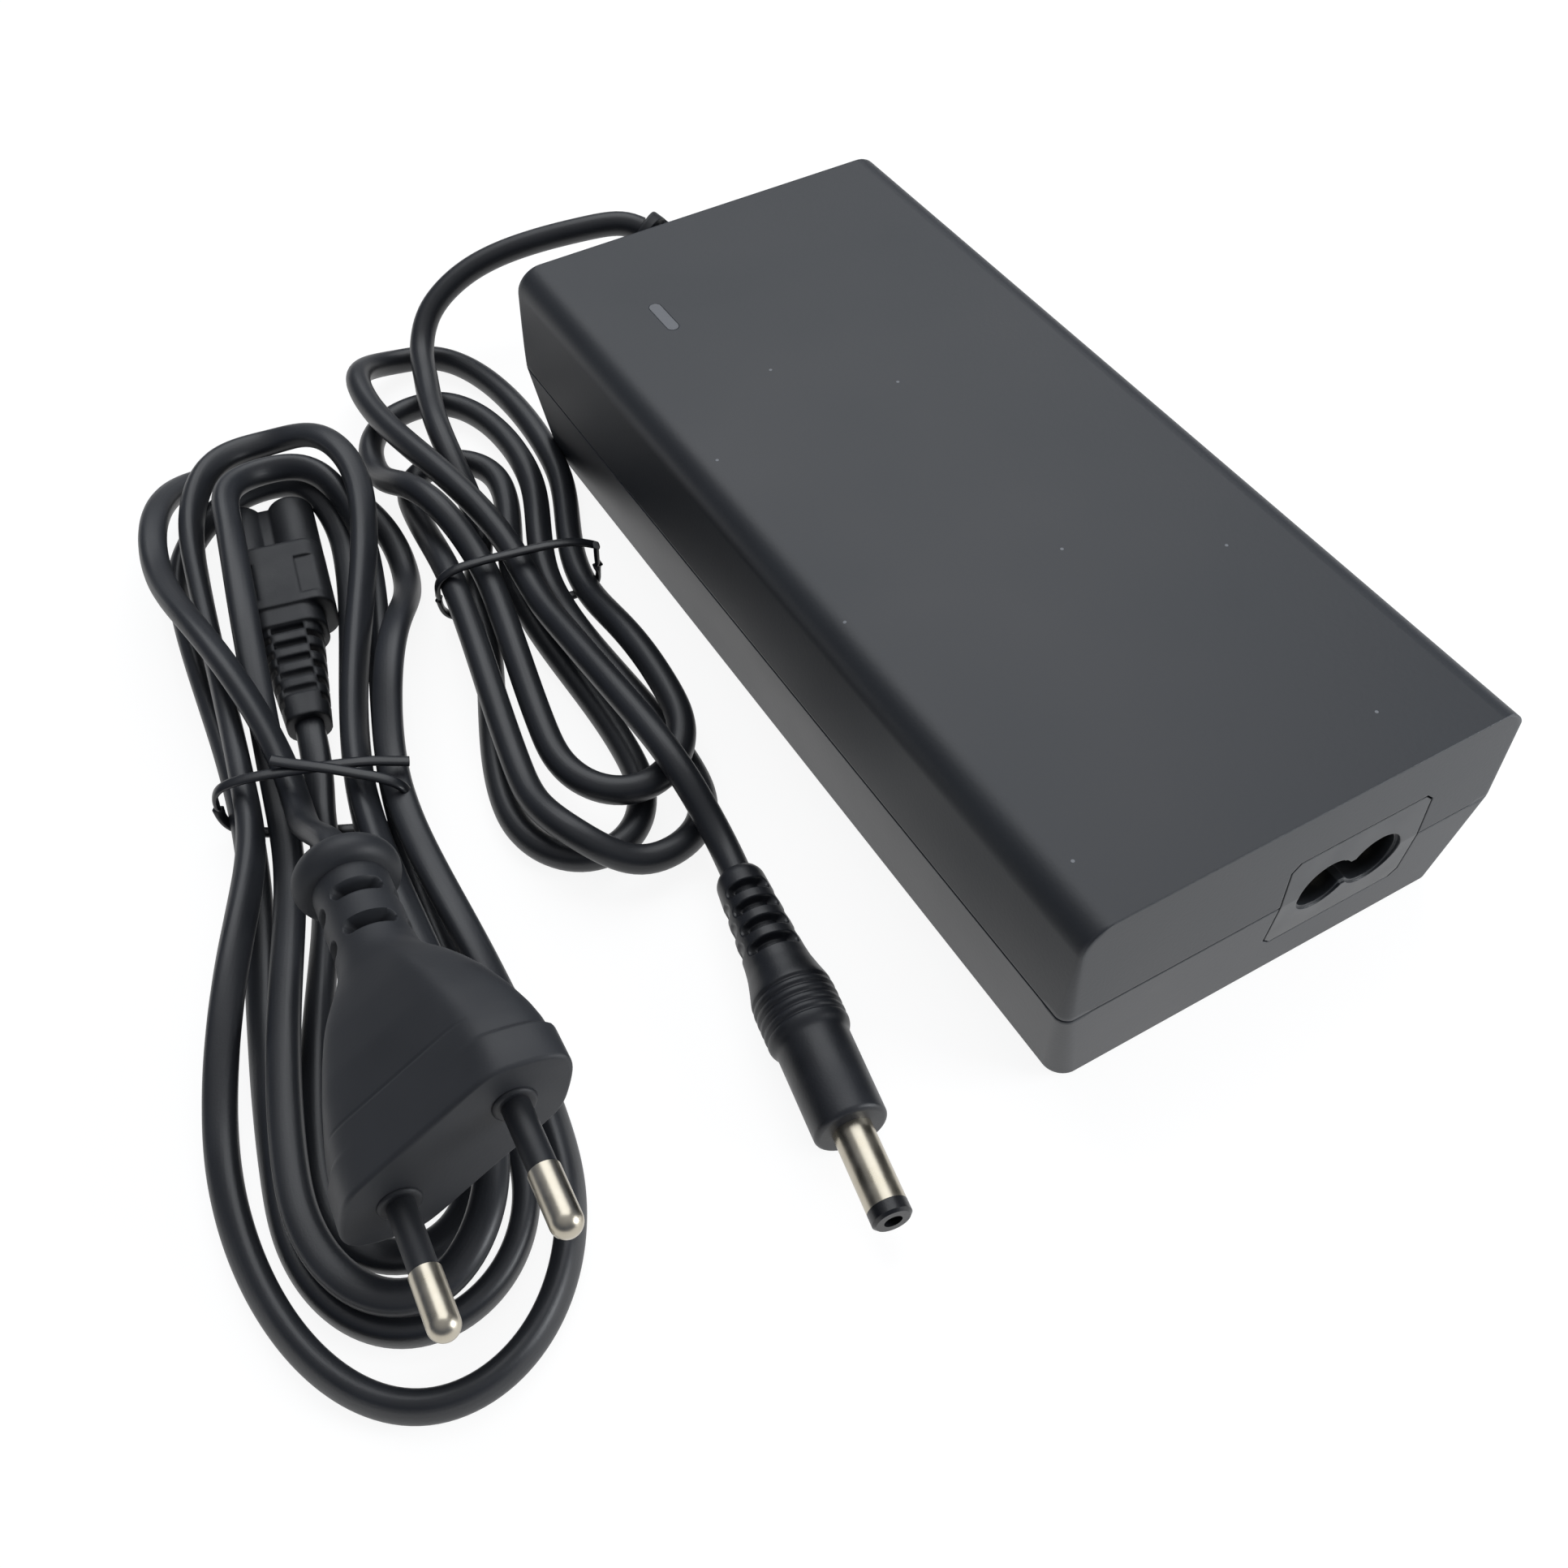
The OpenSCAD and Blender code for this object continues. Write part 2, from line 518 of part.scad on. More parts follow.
// ---------- indicator ----------
module led_window() color([0.62, 0.64, 0.70]) translate([led_x, led_y, 0]) {
    translate([0, 0, board_top + 2.5]) linear_extrude(case_h - board_top - 2.5)
        round_rect(led_w, led_l, led_w / 2 - eps);
    // shoulder under the top wall
    translate([0, 0, case_h - wall - 1.6]) linear_extrude(1.6 - fit) round_rect(led_w + 2.4, led_l + 2.4, 1);
}
module led() color([0.9, 0.92, 0.85]) translate([led_x, led_y, board_top]) {
    translate([-1.4, -1.8, 0]) cube([2.8, 3.6, 0.9]);
    translate([0, 0, 0.9 - eps]) cylinder(h = 1.3, d = 2.2);
}

// ---------- circuit board and what stands on it ----------
sink_x = board_w / 2 - 1 - sink_t;
trafo_x = sink_x - 2.6 - trafo_w / 2 - 0.4;
trafo_y = 4;
choke_x = inlet_x;
choke_y = -case_r + inlet_d + 3 + choke_d / 2 + 2.2;
// places along the board, from its two ends
fuse_y = -board_l / 2 + fuse_d / 2 + part_gap - 0.3;
x_cap_y = fuse_y + fuse_d / 2 + part_gap + 0.2;
bridge_y = x_cap_y + x_cap_t + part_gap + 0.4;
bulk_y = bridge_y + bridge_t + part_gap - 0.1;
sink_one_y = bulk_y - 4;
sink_two_y = board_l / 2 - sink_two_l - 9;
out_cap_y = sink_two_y + 8;
transistor_at = [[1, sink_one_y + 13], [-1, sink_two_y + 16]];
leg_x = 2;
leg_t = 0.6;
module circuit_board() color([0.18, 0.36, 0.22]) difference() {
    translate([-board_w / 2, -board_l / 2, board_z]) cube([board_w, board_l, board_t]);
    for (x = [-1, 1]) for (y = [-1, 1]) translate([x * boss_x, y * boss_y, board_z - 1])
        cylinder(h = board_t + 2, d = peg_d + 2 * fit);
    for (s = [-1, 1]) translate([inlet_x + s * pin_pitch / 2 - 1, -case_r + inlet_d + 0.3, board_z - 1])
        cube([2, 1, board_t + 2]);
    // slots for the transistors' legs
    for (a = transistor_at) translate([a.x * (sink_x - leg_x - leg_t / 2), a.y, board_z + board_t / 2])
        cube([leg_t + 2 * fit, 6, board_t + 2], center = true);
}
trafo_leg_d = trafo_w * 0.36;
module transformer_core() color([0.22, 0.22, 0.24]) translate([trafo_x, trafo_y, board_top]) {
    difference() {
        translate([-trafo_w / 2, -trafo_l * 0.3, 1.2]) cube([trafo_w, trafo_l * 0.6, trafo_h - 1.2]);
        translate([0, 0, 1.2 + 4]) cylinder(h = trafo_h - 1.2 - 8, d = trafo_w - 7);
    }
    translate([0, 0, 5]) cylinder(h = trafo_h - 9, d = trafo_leg_d);
}
module transformer_winding() color([0.86, 0.68, 0.20]) translate([trafo_x, trafo_y, board_top]) difference() {
    union() {
        translate([0, 0, 5.2 + fit]) cylinder(h = trafo_h - 9.4 - 2 * fit, d = trafo_w - 7 - 0.6);
        // pin rails of the bobbin
        for (s = [-1, 1]) translate([-trafo_w * 0.36, s * (trafo_l / 2 - 2) - 2, 0])
            cube([trafo_w * 0.72, 4, 5]);
        for (s = [-1, 1]) translate([-4, s * (trafo_l / 2 - 5.2) - 3.4, 2]) cube([8, 6.8, trafo_h * 0.45]);
    }
    translate([0, 0, -1]) cylinder(h = trafo_h + 2, d = trafo_leg_d + 0.4);
    translate([-trafo_w / 2 - 1, -trafo_l * 0.3 - 0.2, -1])
        cube([trafo_w + 2, trafo_l * 0.6 + 0.4, 6.2 + fit]);
}
module choke_core() color([0.30, 0.42, 0.34]) translate([choke_x, choke_y, board_top + 2.4])
    rotate_extrude() translate([choke_d / 2 - 5.5, 0]) square([5.5, 8]);
module choke_windings() color(copper) for (a = [-65, 115])
    translate([choke_x, choke_y, board_top]) difference() {
        rotate([0, 0, a]) rotate_extrude(angle = 130) translate([choke_d / 2 - 7.3, 0.2]) square([9.1, 12.4]);
        translate([0, 0, 2.4 - fit]) difference() {
            cylinder(h = 8 + 2 * fit, d = choke_d + 2 * fit);
            translate([0, 0, -1]) cylinder(h = 11, d = choke_d - 11 - 2 * fit);
        }
    }
module x_capacitor() color([0.80, 0.66, 0.18]) translate([-board_w / 2 + 6, x_cap_y, board_top])
    cube([x_cap_l, x_cap_t, x_cap_h]);
module bulk_capacitor() color([0.16, 0.17, 0.24])
    translate([-board_w / 2 + 2 + bulk_d / 2, bulk_y, board_top + bulk_d / 2])
        rotate([-90, 0, 0]) difference() {
            cylinder(h = bulk_l, d = bulk_d);
            translate([0, 0, 3]) rotate_extrude() translate([bulk_d / 2 - 0.6, 0]) square([2, 1.2]);
        }
module output_capacitors() color([0.16, 0.17, 0.24]) for (i = [0, 1])
    translate([board_w / 2 - 19, out_cap_y + i * out_cap_pitch, board_top]) difference() {
        cylinder(h = out_cap_h, d = out_cap_d);
        translate([0, 0, 2]) rotate_extrude() translate([out_cap_d / 2 - 0.5, 0]) square([2, 1]);
    }
module bridge_rectifier() color(black) translate([-board_w / 2 + 2, bridge_y, board_top]) difference() {
    cube([bridge_w, bridge_t, bridge_h]);
    translate([0, bridge_t / 2, bridge_h]) rotate([0, 45, 0]) cube([3, bridge_t + 2, 3], center = true);
}
module fuse() translate([-board_w / 2 + 8, fuse_y, board_top + fuse_d / 2]) rotate([0, 90, 0]) {
    color([0.85, 0.88, 0.9]) translate([0, 0, fuse_l / 5]) cylinder(h = fuse_l * 0.6, d = fuse_d - 0.6);
    color(nickel) for (z = [0, 0.75]) translate([0, 0, z * fuse_l]) cylinder(h = fuse_l / 4, d = fuse_d);
}
module heatsink_primary() color([0.72, 0.73, 0.75]) {
    translate([sink_x, sink_one_y, board_top]) cube([sink_t, sink_one_l, sink_h]);
    translate([sink_x - sink_foot, sink_one_y + sink_one_l - 5, board_top])
        cube([sink_foot + eps, 5, sink_t]);
}
module heatsink_secondary() color([0.72, 0.73, 0.75]) {
    translate([-sink_x - sink_t, sink_two_y, board_top]) cube([sink_t, sink_two_l, sink_h]);
    translate([-sink_x - eps, sink_two_y, board_top]) cube([sink_foot, 5, sink_t]);
}
// body, tab and three legs, its back on the heatsink
module transistor() {
    translate([0, -5, 4]) cube([4.4, 10, 9]);
    translate([0, -5, 13 - eps]) cube([1.3, 10, 6]);
    for (y = [-2.5, 0, 2.5]) translate([leg_x, y - 0.4, -board_t]) cube([leg_t, 0.8, 4 + board_t + eps]);
}
module power_transistors() color(black) {
    translate([sink_x, transistor_at[0].y, board_top]) mirror([1, 0, 0]) transistor();
    translate([-sink_x, transistor_at[1].y, board_top]) transistor();
}
module optocoupler() color([0.88, 0.88, 0.86]) translate([-board_w / 2 + 11, bulk_y + bulk_l + 12, board_top])
    cube([6.4, 9, 3.6]);
module controller_chip() color(black) translate([-board_w / 2 + 19, sink_two_y + 5, board_top])
    cube([6, 5, 1.6]);
dc_wire_d = 1.8;
module dc_wires() color([0.5, 0.12, 0.1]) for (s = [-1, 1]) translate([relief_x + s * 1.5, 0, 0]) {
    y = room_l - 12;
    translate([0, y, seam_z]) rotate([-90, 0, 0]) cylinder(h = 12 - 2 - fit, d = dc_wire_d);
    translate([0, y, seam_z]) sphere(d = dc_wire_d);
    translate([0, y, board_top]) cylinder(h = seam_z - board_top, d = dc_wire_d);
}

// ---------- output lead ----------
// a place on the relief's axis, s from the housing: straight at first, then round the bend
module on_relief(s) {
    a = max(0, s - relief_root_l) / relief_r * 180 / PI;
    rotate([0, 0, relief_roll])
        translate([-relief_r * (1 - cos(a)), 0, min(s, relief_root_l) + relief_r * sin(a)])
            rotate([0, -a, 0]) rotate([0, 0, -relief_roll]) children();
}
module dc_relief() color(black) translate([relief_x, case_r, seam_z]) rotate([-90, 0, 0]) difference() {
    union() {
        // taper outside, neck through the wall, flange inside
        translate([0, 0, fit]) cylinder(h = relief_root_l - fit, d1 = relief_base_d, d2 = relief_tip_d);
        translate([0, 0, -end_wall - fit]) cylinder(h = end_wall + 1, d = relief_neck_d);
        translate([0, 0, -end_wall - 2 - fit]) cylinder(h = 2, d = relief_base_d + 1.6);
        // the part that the lead pulls round
        rotate([0, 0, relief_roll]) translate([-relief_r, 0, relief_root_l - eps]) rotate([90, 0, 0])
            rotate_extrude(angle = relief_bend) translate([relief_r, 0]) circle(d = relief_tip_d);
    }
    // slots on the flanks and, half a step on, above and below
    pitch = (relief_l - 5) / relief_slots;
    for (i = [0 : relief_slots - 1]) {
        on_relief(3 + i * pitch) slot_pair(dc_d / 2 + 0.3, 0.45 * pitch);
        on_relief(3 + (i + 0.5) * pitch) rotate([0, 0, 90]) slot_pair(dc_d / 2 + 0.3, 0.3 * pitch);
    }
}
// a slot in from each side, down to the distance c from the axis
module slot_pair(c, h) for (s = [-1, 1]) translate([s * (c + 5) - 5, -3.2, 0]) cube([10, 6.4, h]);
module dc_cord() color(black) tube(dc_free_path, dc_d, 8);
module dc_hank() {
    echo("dc hank", least_gap = least_gap(dc_hank_path, dc_d), length = total(span(dc_hank_path)),
        free = total(span(dc_free_path)));
    color(black) tube(dc_hank_path, dc_d, 6);
}
// band round a bundle: w wide inside, h high inside, standing on the table
module band(w, h, r) rotate([90, 0, 0]) linear_extrude(tie_w, center = true) difference() {
    translate([0, h / 2 + tie_t]) round_rect(w + 2 * tie_t, h + 2 * tie_t, r + tie_t);
    translate([0, h / 2 + tie_t]) round_rect(w, h, r);
}
// twisted ends of a wire tie
module twist(l, turns) rotate([0, 90, 0])
    linear_extrude(l, twist = 360 * turns, slices = 10 * turns, segments = 4, $fn = 0)
        square([2.2, 0.9], center = true);
module dc_tie() color(black) translate([dc_at.x, dc_at.y, 0]) rotate([0, 0, -dc_turn]) {
    band(26.4, dc_tie_h, 2.4);
    translate([9, -tie_w / 2 + 0.6, dc_tie_h + 2 * tie_t + 0.4]) rotate([0, 0, -28]) twist(9, 2);
}
module on_dc_plug() translate(dc_end) rotate([0, 0, dc_heading]) rotate([0, 90, 0]) children();
collar_z = dc_sleeve_l;
grip_z = collar_z + dc_collar_l;
barrel_z = grip_z + dc_grip_l;
module dc_plug_body() color(black) on_dc_plug() difference() {
    union() {
        cylinder(h = dc_sleeve_l, d1 = dc_sleeve_d, d2 = dc_neck_d);
        cylinder(h = 1.6, d = dc_sleeve_d + 0.6);
        translate([0, 0, collar_z - eps]) cylinder(h = 2, d1 = dc_neck_d, d2 = dc_plug_d);
        translate([0, 0, collar_z + 2 - 2 * eps]) cylinder(h = dc_collar_l - 2, d = dc_plug_d);
        translate([0, 0, grip_z - 3 * eps]) cylinder(h = dc_grip_l - 0.8 + 2 * eps, d = dc_grip_d);
        translate([0, 0, barrel_z - 0.8 - 2 * eps]) cylinder(h = 0.8, d1 = dc_grip_d, d2 = dc_grip_d - 1.6);
    }
    // fine rings on the collar
    for (i = [0 : 4]) translate([0, 0, collar_z + 2.4 + i * (dc_collar_l - 3) / 5]) difference() {
        cylinder(h = 0.6, d = dc_plug_d + 1);
        translate([0, 0, -1]) cylinder(h = 3, d = dc_plug_d - 0.9);
    }
    // slots of the sleeve
    for (i = [0 : 3]) translate([0, 0, 3.2 + i * 3.6]) slot_pair(dc_d / 2 + 0.3, 1.8);
    for (i = [0 : 2]) translate([0, 0, 5 + i * 3.6]) rotate([0, 0, 90]) slot_pair(dc_d / 2 + 0.3, 1.8);
    // seat of the barrel
    translate([0, 0, barrel_z - 8]) cylinder(h = 10, d = barrel_d - root_step);
}
module dc_plug_barrel() color(nickel) on_dc_plug() difference() {
    union() {
        translate([0, 0, barrel_z - 8]) cylinder(h = 8 + eps, d = barrel_d - root_step);
        translate([0, 0, barrel_z]) cylinder(h = barrel_l - 2, d = barrel_d);
    }
    translate([0, 0, barrel_z - 6]) cylinder(h = 20, d = barrel_d - 0.9);
}
// black lining, flush ring at the mouth
module dc_plug_tip() color(black) on_dc_plug() difference() {
    union() {
        translate([0, 0, barrel_z - 6]) cylinder(h = 6 + barrel_l, d = barrel_d - 0.9);
        translate([0, 0, barrel_z + barrel_l - 2]) cylinder(h = 1.6, d = barrel_d);
        translate([0, 0, barrel_z + barrel_l - 0.4]) cylinder(h = 0.4, d1 = barrel_d, d2 = barrel_d - 0.8);
    }
    translate([0, 0, barrel_z - 4]) cylinder(h = barrel_l + 6, d = barrel_bore);
}

// ---------- mains lead ----------
module on_mains() translate([ac_at.x, ac_at.y, 0]) rotate([0, 0, -ac_turn]) children();
module on_c7() on_mains() translate(c7_at) rotate([-90, 0, 0]) children();
nose_r = socket_r - 0.35;
module flat_oval(w, t, r) round_rect(w, t, min(r, t / 2 - eps));
module c7_connector() color(black) on_c7() difference() {
    union() {
        // grip, then nose
        linear_extrude(c7_grip_l) flat_oval(c7_w, c7_t, 3.2);
        translate([0, 0, c7_grip_l - eps]) linear_extrude(c7_nose_l + eps)
            figure_eight(nose_r, socket_waist - 0.7, pin_pitch);
        // shoulder down to the sleeve
        translate([0, 0, -4]) linear_extrude(4 + eps) flat_oval(12.4, c7_t - 0.8, 3.4);
        // flat tapering sleeve
        hull() {
            translate([0, 0, -4]) linear_extrude(1) flat_oval(10.6, 7.4, 3, $fn = 20);
            translate([0, 0, -c7_sleeve_l]) linear_extrude(1) flat_oval(7, 6.2, 2.6, $fn = 20);
        }
    }
    for (s = [-1, 1]) translate([s * pin_pitch / 2, 0, c7_grip_l + c7_nose_l - contact_l - 1])
        cylinder(h = contact_l + 3, d = contact_bore + 0.8);
    // slots across the sleeve
    for (i = [0 : 4]) translate([0, 0, -c7_sleeve_l + 3 + i * 3.4]) for (s = [-1, 1]) {
        translate([s * 6.9 - 4, -6, 0]) cube([8, 12, 1.5]);
        translate([-2.6, s * (ac_d / 2 + 3.4) - 3, 1.7]) cube([5.2, 6, 1.5]);
    }
    // raised bar on the grip is left by two shallow steps beside it
    for (s = [-1, 1]) translate([s * 5.2 - 1.8, -c7_t / 2 - 1, 2]) cube([3.6, 1.35, 9]);
}
module c7_contacts() color(nickel) on_c7() for (s = [-1, 1])
    translate([s * pin_pitch / 2, 0, c7_grip_l + c7_nose_l - contact_l]) difference() {
        translate([0, 0, -1]) cylinder(h = contact_l + 0.6, d = contact_bore + 0.8);
        cylinder(h = contact_l + 2, d = contact_bore);
    }
module mains_hank() {
    echo("mains hank", least_gap = least_gap(ac_hank_path, ac_d), length = total(span(ac_hank_path)));
    color(black) tube(ac_hank_path, ac_d, 6);
}
ac_tie_turn = -14;
module mains_tie() color(black) on_mains() translate([0, 2, 0]) rotate([0, 0, ac_tie_turn]) {
    band(30, ac_tie_h, 2.4);
    translate([-6, 0, ac_tie_h + 2 * tie_t + 0.3]) rotate([0, 0, -20]) twist(22, 4);
}
module on_plug() on_mains() translate(plug_at) rotate([0, 0, plug_heading])
    rotate([-plug_lift, 0, 0]) rotate([0, -plug_roll, 0]) children();
// plan of the mains plug, half width against distance from the face
plug_plan = [[0, 1], [1, 1], [6, 0.985], [6.4, 0.945], [14, 0.86], [19, 0.74], [24, 0.6], [29, 0.44],
    [32, 0.35], [34, 0.31]];
module plug_outline() {
    right = [for (p = plug_plan) [p[1] * plug_w / 2, p[0] / 34 * plug_l]];
    polygon(concat(right, [for (i = [len(right) - 1 : -1 : 0]) [-right[i].x, right[i].y]]));
}
// front view: flat top and bottom, sloping to rounded flanks
module plug_front() {
    w = plug_w / 2;
    t = plug_t / 2;
    polygon([[-w + 6.2, -t], [w - 6.2, -t], [w - 1, -2.2], [w - 1, 2.2], [w - 6.2, t], [-w + 6.2, t],
        [-w + 1, 2.2], [-w + 1, -2.2]]);
    for (s = [-1, 1]) translate([s * (w - 2.5), 0]) circle(2.5);
}
module mains_plug_body() color(black) on_plug() {
    difference() {
        union() {
            intersection() {
                rotate([-90, 0, 0]) linear_extrude(plug_l) plug_front();
                translate([0, 0, -plug_t]) linear_extrude(2 * plug_t) plug_outline();
                rotate([90, 0, 90]) linear_extrude(plug_w + 2, center = true) polygon([[0, -plug_t / 2],
                    [plug_l * 0.55, -plug_t / 2], [plug_l, -plug_neck_d / 2], [plug_l, plug_neck_d / 2],
                    [plug_l * 0.55, plug_t / 2], [0, plug_t / 2]]);
            }
            translate([0, plug_l - 4, 0]) rotate([-90, 0, 0]) cylinder(h = plug_neck_l + 5, d = plug_neck_d);
            // ring at the back
            translate([0, plug_l + plug_neck_l + 2.5, 0]) rotate([-90, 0, 0]) {
                rotate_extrude() translate([plug_ring_r - 2.5, 0]) circle(2.5);
                translate([0, 0, -2.5]) cylinder(h = 5, r = plug_ring_r - 2.5);
            }
        }
        for (s = [-1, 1]) translate([s * plug_pitch / 2, -1, 0]) rotate([-90, 0, 0])
            cylinder(h = 13, d = plug_core_d);
        // windows in the neck, above and below, and half a step nearer the face on its sides
        for (i = [0 : 2]) for (s = [-1, 1]) translate([0, plug_l + 0.6 + i * 3.6, 0]) {
            translate([-2.5, 0, s * (plug_neck_d / 2 - 0.6) - 1.5]) cube([5, 1.8, 3]);
            translate([s * (plug_neck_d / 2 - 0.6) - 1.5, -1.8, -2]) cube([3, 1.8, 4]);
        }
    }
}
// the pins' root in the body and under the sleeves, and the sleeves round it
plug_core_d = plug_pin_d - 1;
plug_cover_d = plug_pin_d - 0.4;
module plug_pin_place() for (s = [-1, 1]) translate([s * plug_pitch / 2, 0, 0]) rotate([90, 0, 0]) children();
module mains_plug_sleeves() color(black) on_plug() plug_pin_place() difference() {
    cylinder(h = plug_sleeve_l, d = plug_cover_d);
    translate([0, 0, -1]) cylinder(h = plug_sleeve_l + 2, d = plug_core_d);
}
module mains_plug_pins() color(nickel) on_plug() plug_pin_place() {
    translate([0, 0, -12]) cylinder(h = 12 + plug_sleeve_l + eps, d = plug_core_d);
    straight = plug_pin_l - plug_pin_d / 2;
    translate([0, 0, plug_sleeve_l]) cylinder(h = straight - plug_sleeve_l, d = plug_pin_d);
    translate([0, 0, straight]) sphere(d = plug_pin_d);
}

top_shell();
bottom_shell();
inlet_block();
inlet_pins();
led_window();
led();
circuit_board();
transformer_core();
transformer_winding();
choke_core();
choke_windings();
x_capacitor();
bulk_capacitor();
output_capacitors();
bridge_rectifier();
fuse();
heatsink_primary();
heatsink_secondary();
power_transistors();
optocoupler();
controller_chip();
dc_wires();
dc_relief();
dc_cord();
dc_hank();
dc_tie();
dc_plug_body();
dc_plug_barrel();
dc_plug_tip();
c7_connector();
c7_contacts();
mains_hank();
mains_tie();
mains_plug_body();
mains_plug_sleeves();
mains_plug_pins();
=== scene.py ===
import json
import math

import bmesh
import bpy
import numpy as np
from mathutils import Matrix

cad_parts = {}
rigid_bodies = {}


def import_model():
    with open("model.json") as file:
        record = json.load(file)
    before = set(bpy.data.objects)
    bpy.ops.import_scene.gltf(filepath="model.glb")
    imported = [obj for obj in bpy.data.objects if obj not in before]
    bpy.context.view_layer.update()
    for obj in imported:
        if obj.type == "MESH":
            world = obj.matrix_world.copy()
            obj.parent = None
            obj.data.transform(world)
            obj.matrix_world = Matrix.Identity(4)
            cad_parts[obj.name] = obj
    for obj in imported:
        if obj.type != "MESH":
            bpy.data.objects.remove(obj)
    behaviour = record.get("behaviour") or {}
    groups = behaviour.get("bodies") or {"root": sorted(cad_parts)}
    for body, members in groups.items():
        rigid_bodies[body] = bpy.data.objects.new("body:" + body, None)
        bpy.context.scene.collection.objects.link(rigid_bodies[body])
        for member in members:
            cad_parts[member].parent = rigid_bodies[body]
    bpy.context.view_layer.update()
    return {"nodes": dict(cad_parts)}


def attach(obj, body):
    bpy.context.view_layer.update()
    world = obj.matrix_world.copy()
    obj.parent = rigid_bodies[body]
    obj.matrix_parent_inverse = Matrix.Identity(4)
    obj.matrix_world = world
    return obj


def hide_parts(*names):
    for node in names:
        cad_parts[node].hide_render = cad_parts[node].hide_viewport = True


for leftover in list(bpy.data.objects):
    bpy.data.objects.remove(leftover)
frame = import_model()
scene = bpy.context.scene

# ---------------------------------------------------------------- camera
# A hand-held view over the socket end: the camera stands 24 cm from the middle of the group, turned 30
# degrees to the left of the housing's long axis and looking down at 50 degrees. A 40 mm lens gives its
# strong perspective.
azimuth, elevation, tilt = (math.radians(v) for v in (-29.996, 50.177, -0.757))
backwards = np.array([math.sin(azimuth) * math.cos(elevation), -math.cos(azimuth) * math.cos(elevation),
                      math.sin(elevation)])
level = np.cross([0.0, 0.0, 1.0], backwards)
level /= np.linalg.norm(level)
upright = np.cross(backwards, level)
across = level * math.cos(tilt) + upright * math.sin(tilt)
aloft = upright * math.cos(tilt) - level * math.sin(tilt)
stand = np.array([-0.046575, -0.027063, 0.018681]) + 0.242487 * backwards
lens = bpy.data.cameras.new("camera")
film, focal_ratio = 36.0, 2125 / 1932
lens.sensor_width, lens.lens, lens.clip_start, lens.clip_end = film, focal_ratio * film, 0.01, 20.0
camera = bpy.data.objects.new("camera", lens)
camera.matrix_world = Matrix([[across[i], aloft[i], backwards[i], stand[i]] for i in range(3)]
                             + [[0, 0, 0, 1]])
scene.collection.objects.link(camera)
scene.camera = camera


# ---------------------------------------------------------------- output lead
# The lead from the housing to the barrel plug: two cores in a round satin PVC sheath, 4.5 mm thick and about
# 0.95 m long. It leaves the bend relief, sinks to the table and is folded into a figure-of-eight hank.
def ease(t):
    """0 at t = 0 and 1 at t = 1, level at both ends: three t squared less two t cubed."""
    return t * t * (3 - 2 * t)


def half_loop(a, b, c, rise, low):
    """Half a loop of a hank from waist crossing a, round the end of b, to waist crossing c, nowhere lower
    than low. Each of its four stretches takes 12 points: the runs ease across while they go along, the two
    quarters of the bight follow a quarter ellipse, and the height eases from end to end with a sine-squared
    hump."""
    t = np.arange(12) / 12
    hump = np.sin(math.pi * t) ** 2
    start, mid, last = (np.array([x, y, max(z, low)]) for x, y, z in b)
    one = [a[0] + (start[0] - a[0]) * ease(t), start[1] * t,
           a[1] + (start[2] - a[1]) * ease(t) + rise[0] * hump]
    two = [start[0] + (mid[0] - start[0]) * (1 - np.cos(math.pi / 2 * t)),
           start[1] + (mid[1] - start[1]) * np.sin(math.pi / 2 * t),
           start[2] + (mid[2] - start[2]) * ease(t) + rise[1] * hump]
    three = [mid[0] + (last[0] - mid[0]) * np.sin(math.pi / 2 * t),
             last[1] + (mid[1] - last[1]) * np.cos(math.pi / 2 * t),
             mid[2] + (last[2] - mid[2]) * ease(t) + rise[2] * hump]
    four = [last[0] + (c[0] - last[0]) * ease(t), last[1] * (1 - t),
            last[2] + (c[1] - last[2]) * ease(t) + rise[3] * hump]
    return np.concatenate([np.stack(part, 1) for part in (one, two, three, four)])


def hank(waist, bights, rises, low):
    """The half loops of a hank one after the other. A bight is three points: where it starts, its far end and
    where it ends. A waist crossing is its place across the hank and its height."""
    return np.concatenate([half_loop(waist[k], bights[k], waist[k + 1], rises[k], low)
                           for k in range(len(bights))])


def turn_z(degrees):
    """The matrix that turns a point about the upright axis."""
    a = math.radians(degrees)
    return np.array([[math.cos(a), -math.sin(a), 0], [math.sin(a), math.cos(a), 0], [0, 0, 1.0]])


def through(points, step=1.0, rounds=10):
    """A smooth curve through the points, one point each step. Between two points it is the cubic whose slopes
    at both are the distance-weighted mean of the chords on either side, and the whole is then averaged with
    its neighbours a few times, which rounds what is left of its corners."""
    p = np.asarray(points, float)
    p = p[np.r_[True, np.linalg.norm(np.diff(p, axis=0), axis=1) > 1e-6]]
    d = np.linalg.norm(np.diff(p, axis=0), axis=1)[:, None]
    chord = np.diff(p, axis=0) / d
    slope = np.concatenate([chord[:1], (chord[:-1] * d[1:] + chord[1:] * d[:-1]) / (d[1:] + d[:-1]),
                            chord[-1:]])
    knots = np.r_[0, np.cumsum(d)]
    s = np.linspace(0, knots[-1], int(knots[-1] / step) + 1)
    i = np.clip(np.searchsorted(knots, s, "right") - 1, 0, len(d) - 1)
    t = ((s - knots[i]) / d[i, 0])[:, None]
    q = ((1 + 2 * t) * (1 - t) ** 2 * p[i] + t * (1 - t) ** 2 * d[i] * slope[i]
         + t * t * (3 - 2 * t) * p[i + 1] - t * t * (1 - t) * d[i] * slope[i + 1])
    for _ in range(rounds):
        q[1:-1] = (q[:-2] + 2 * q[1:-1] + q[2:]) / 4
    return q


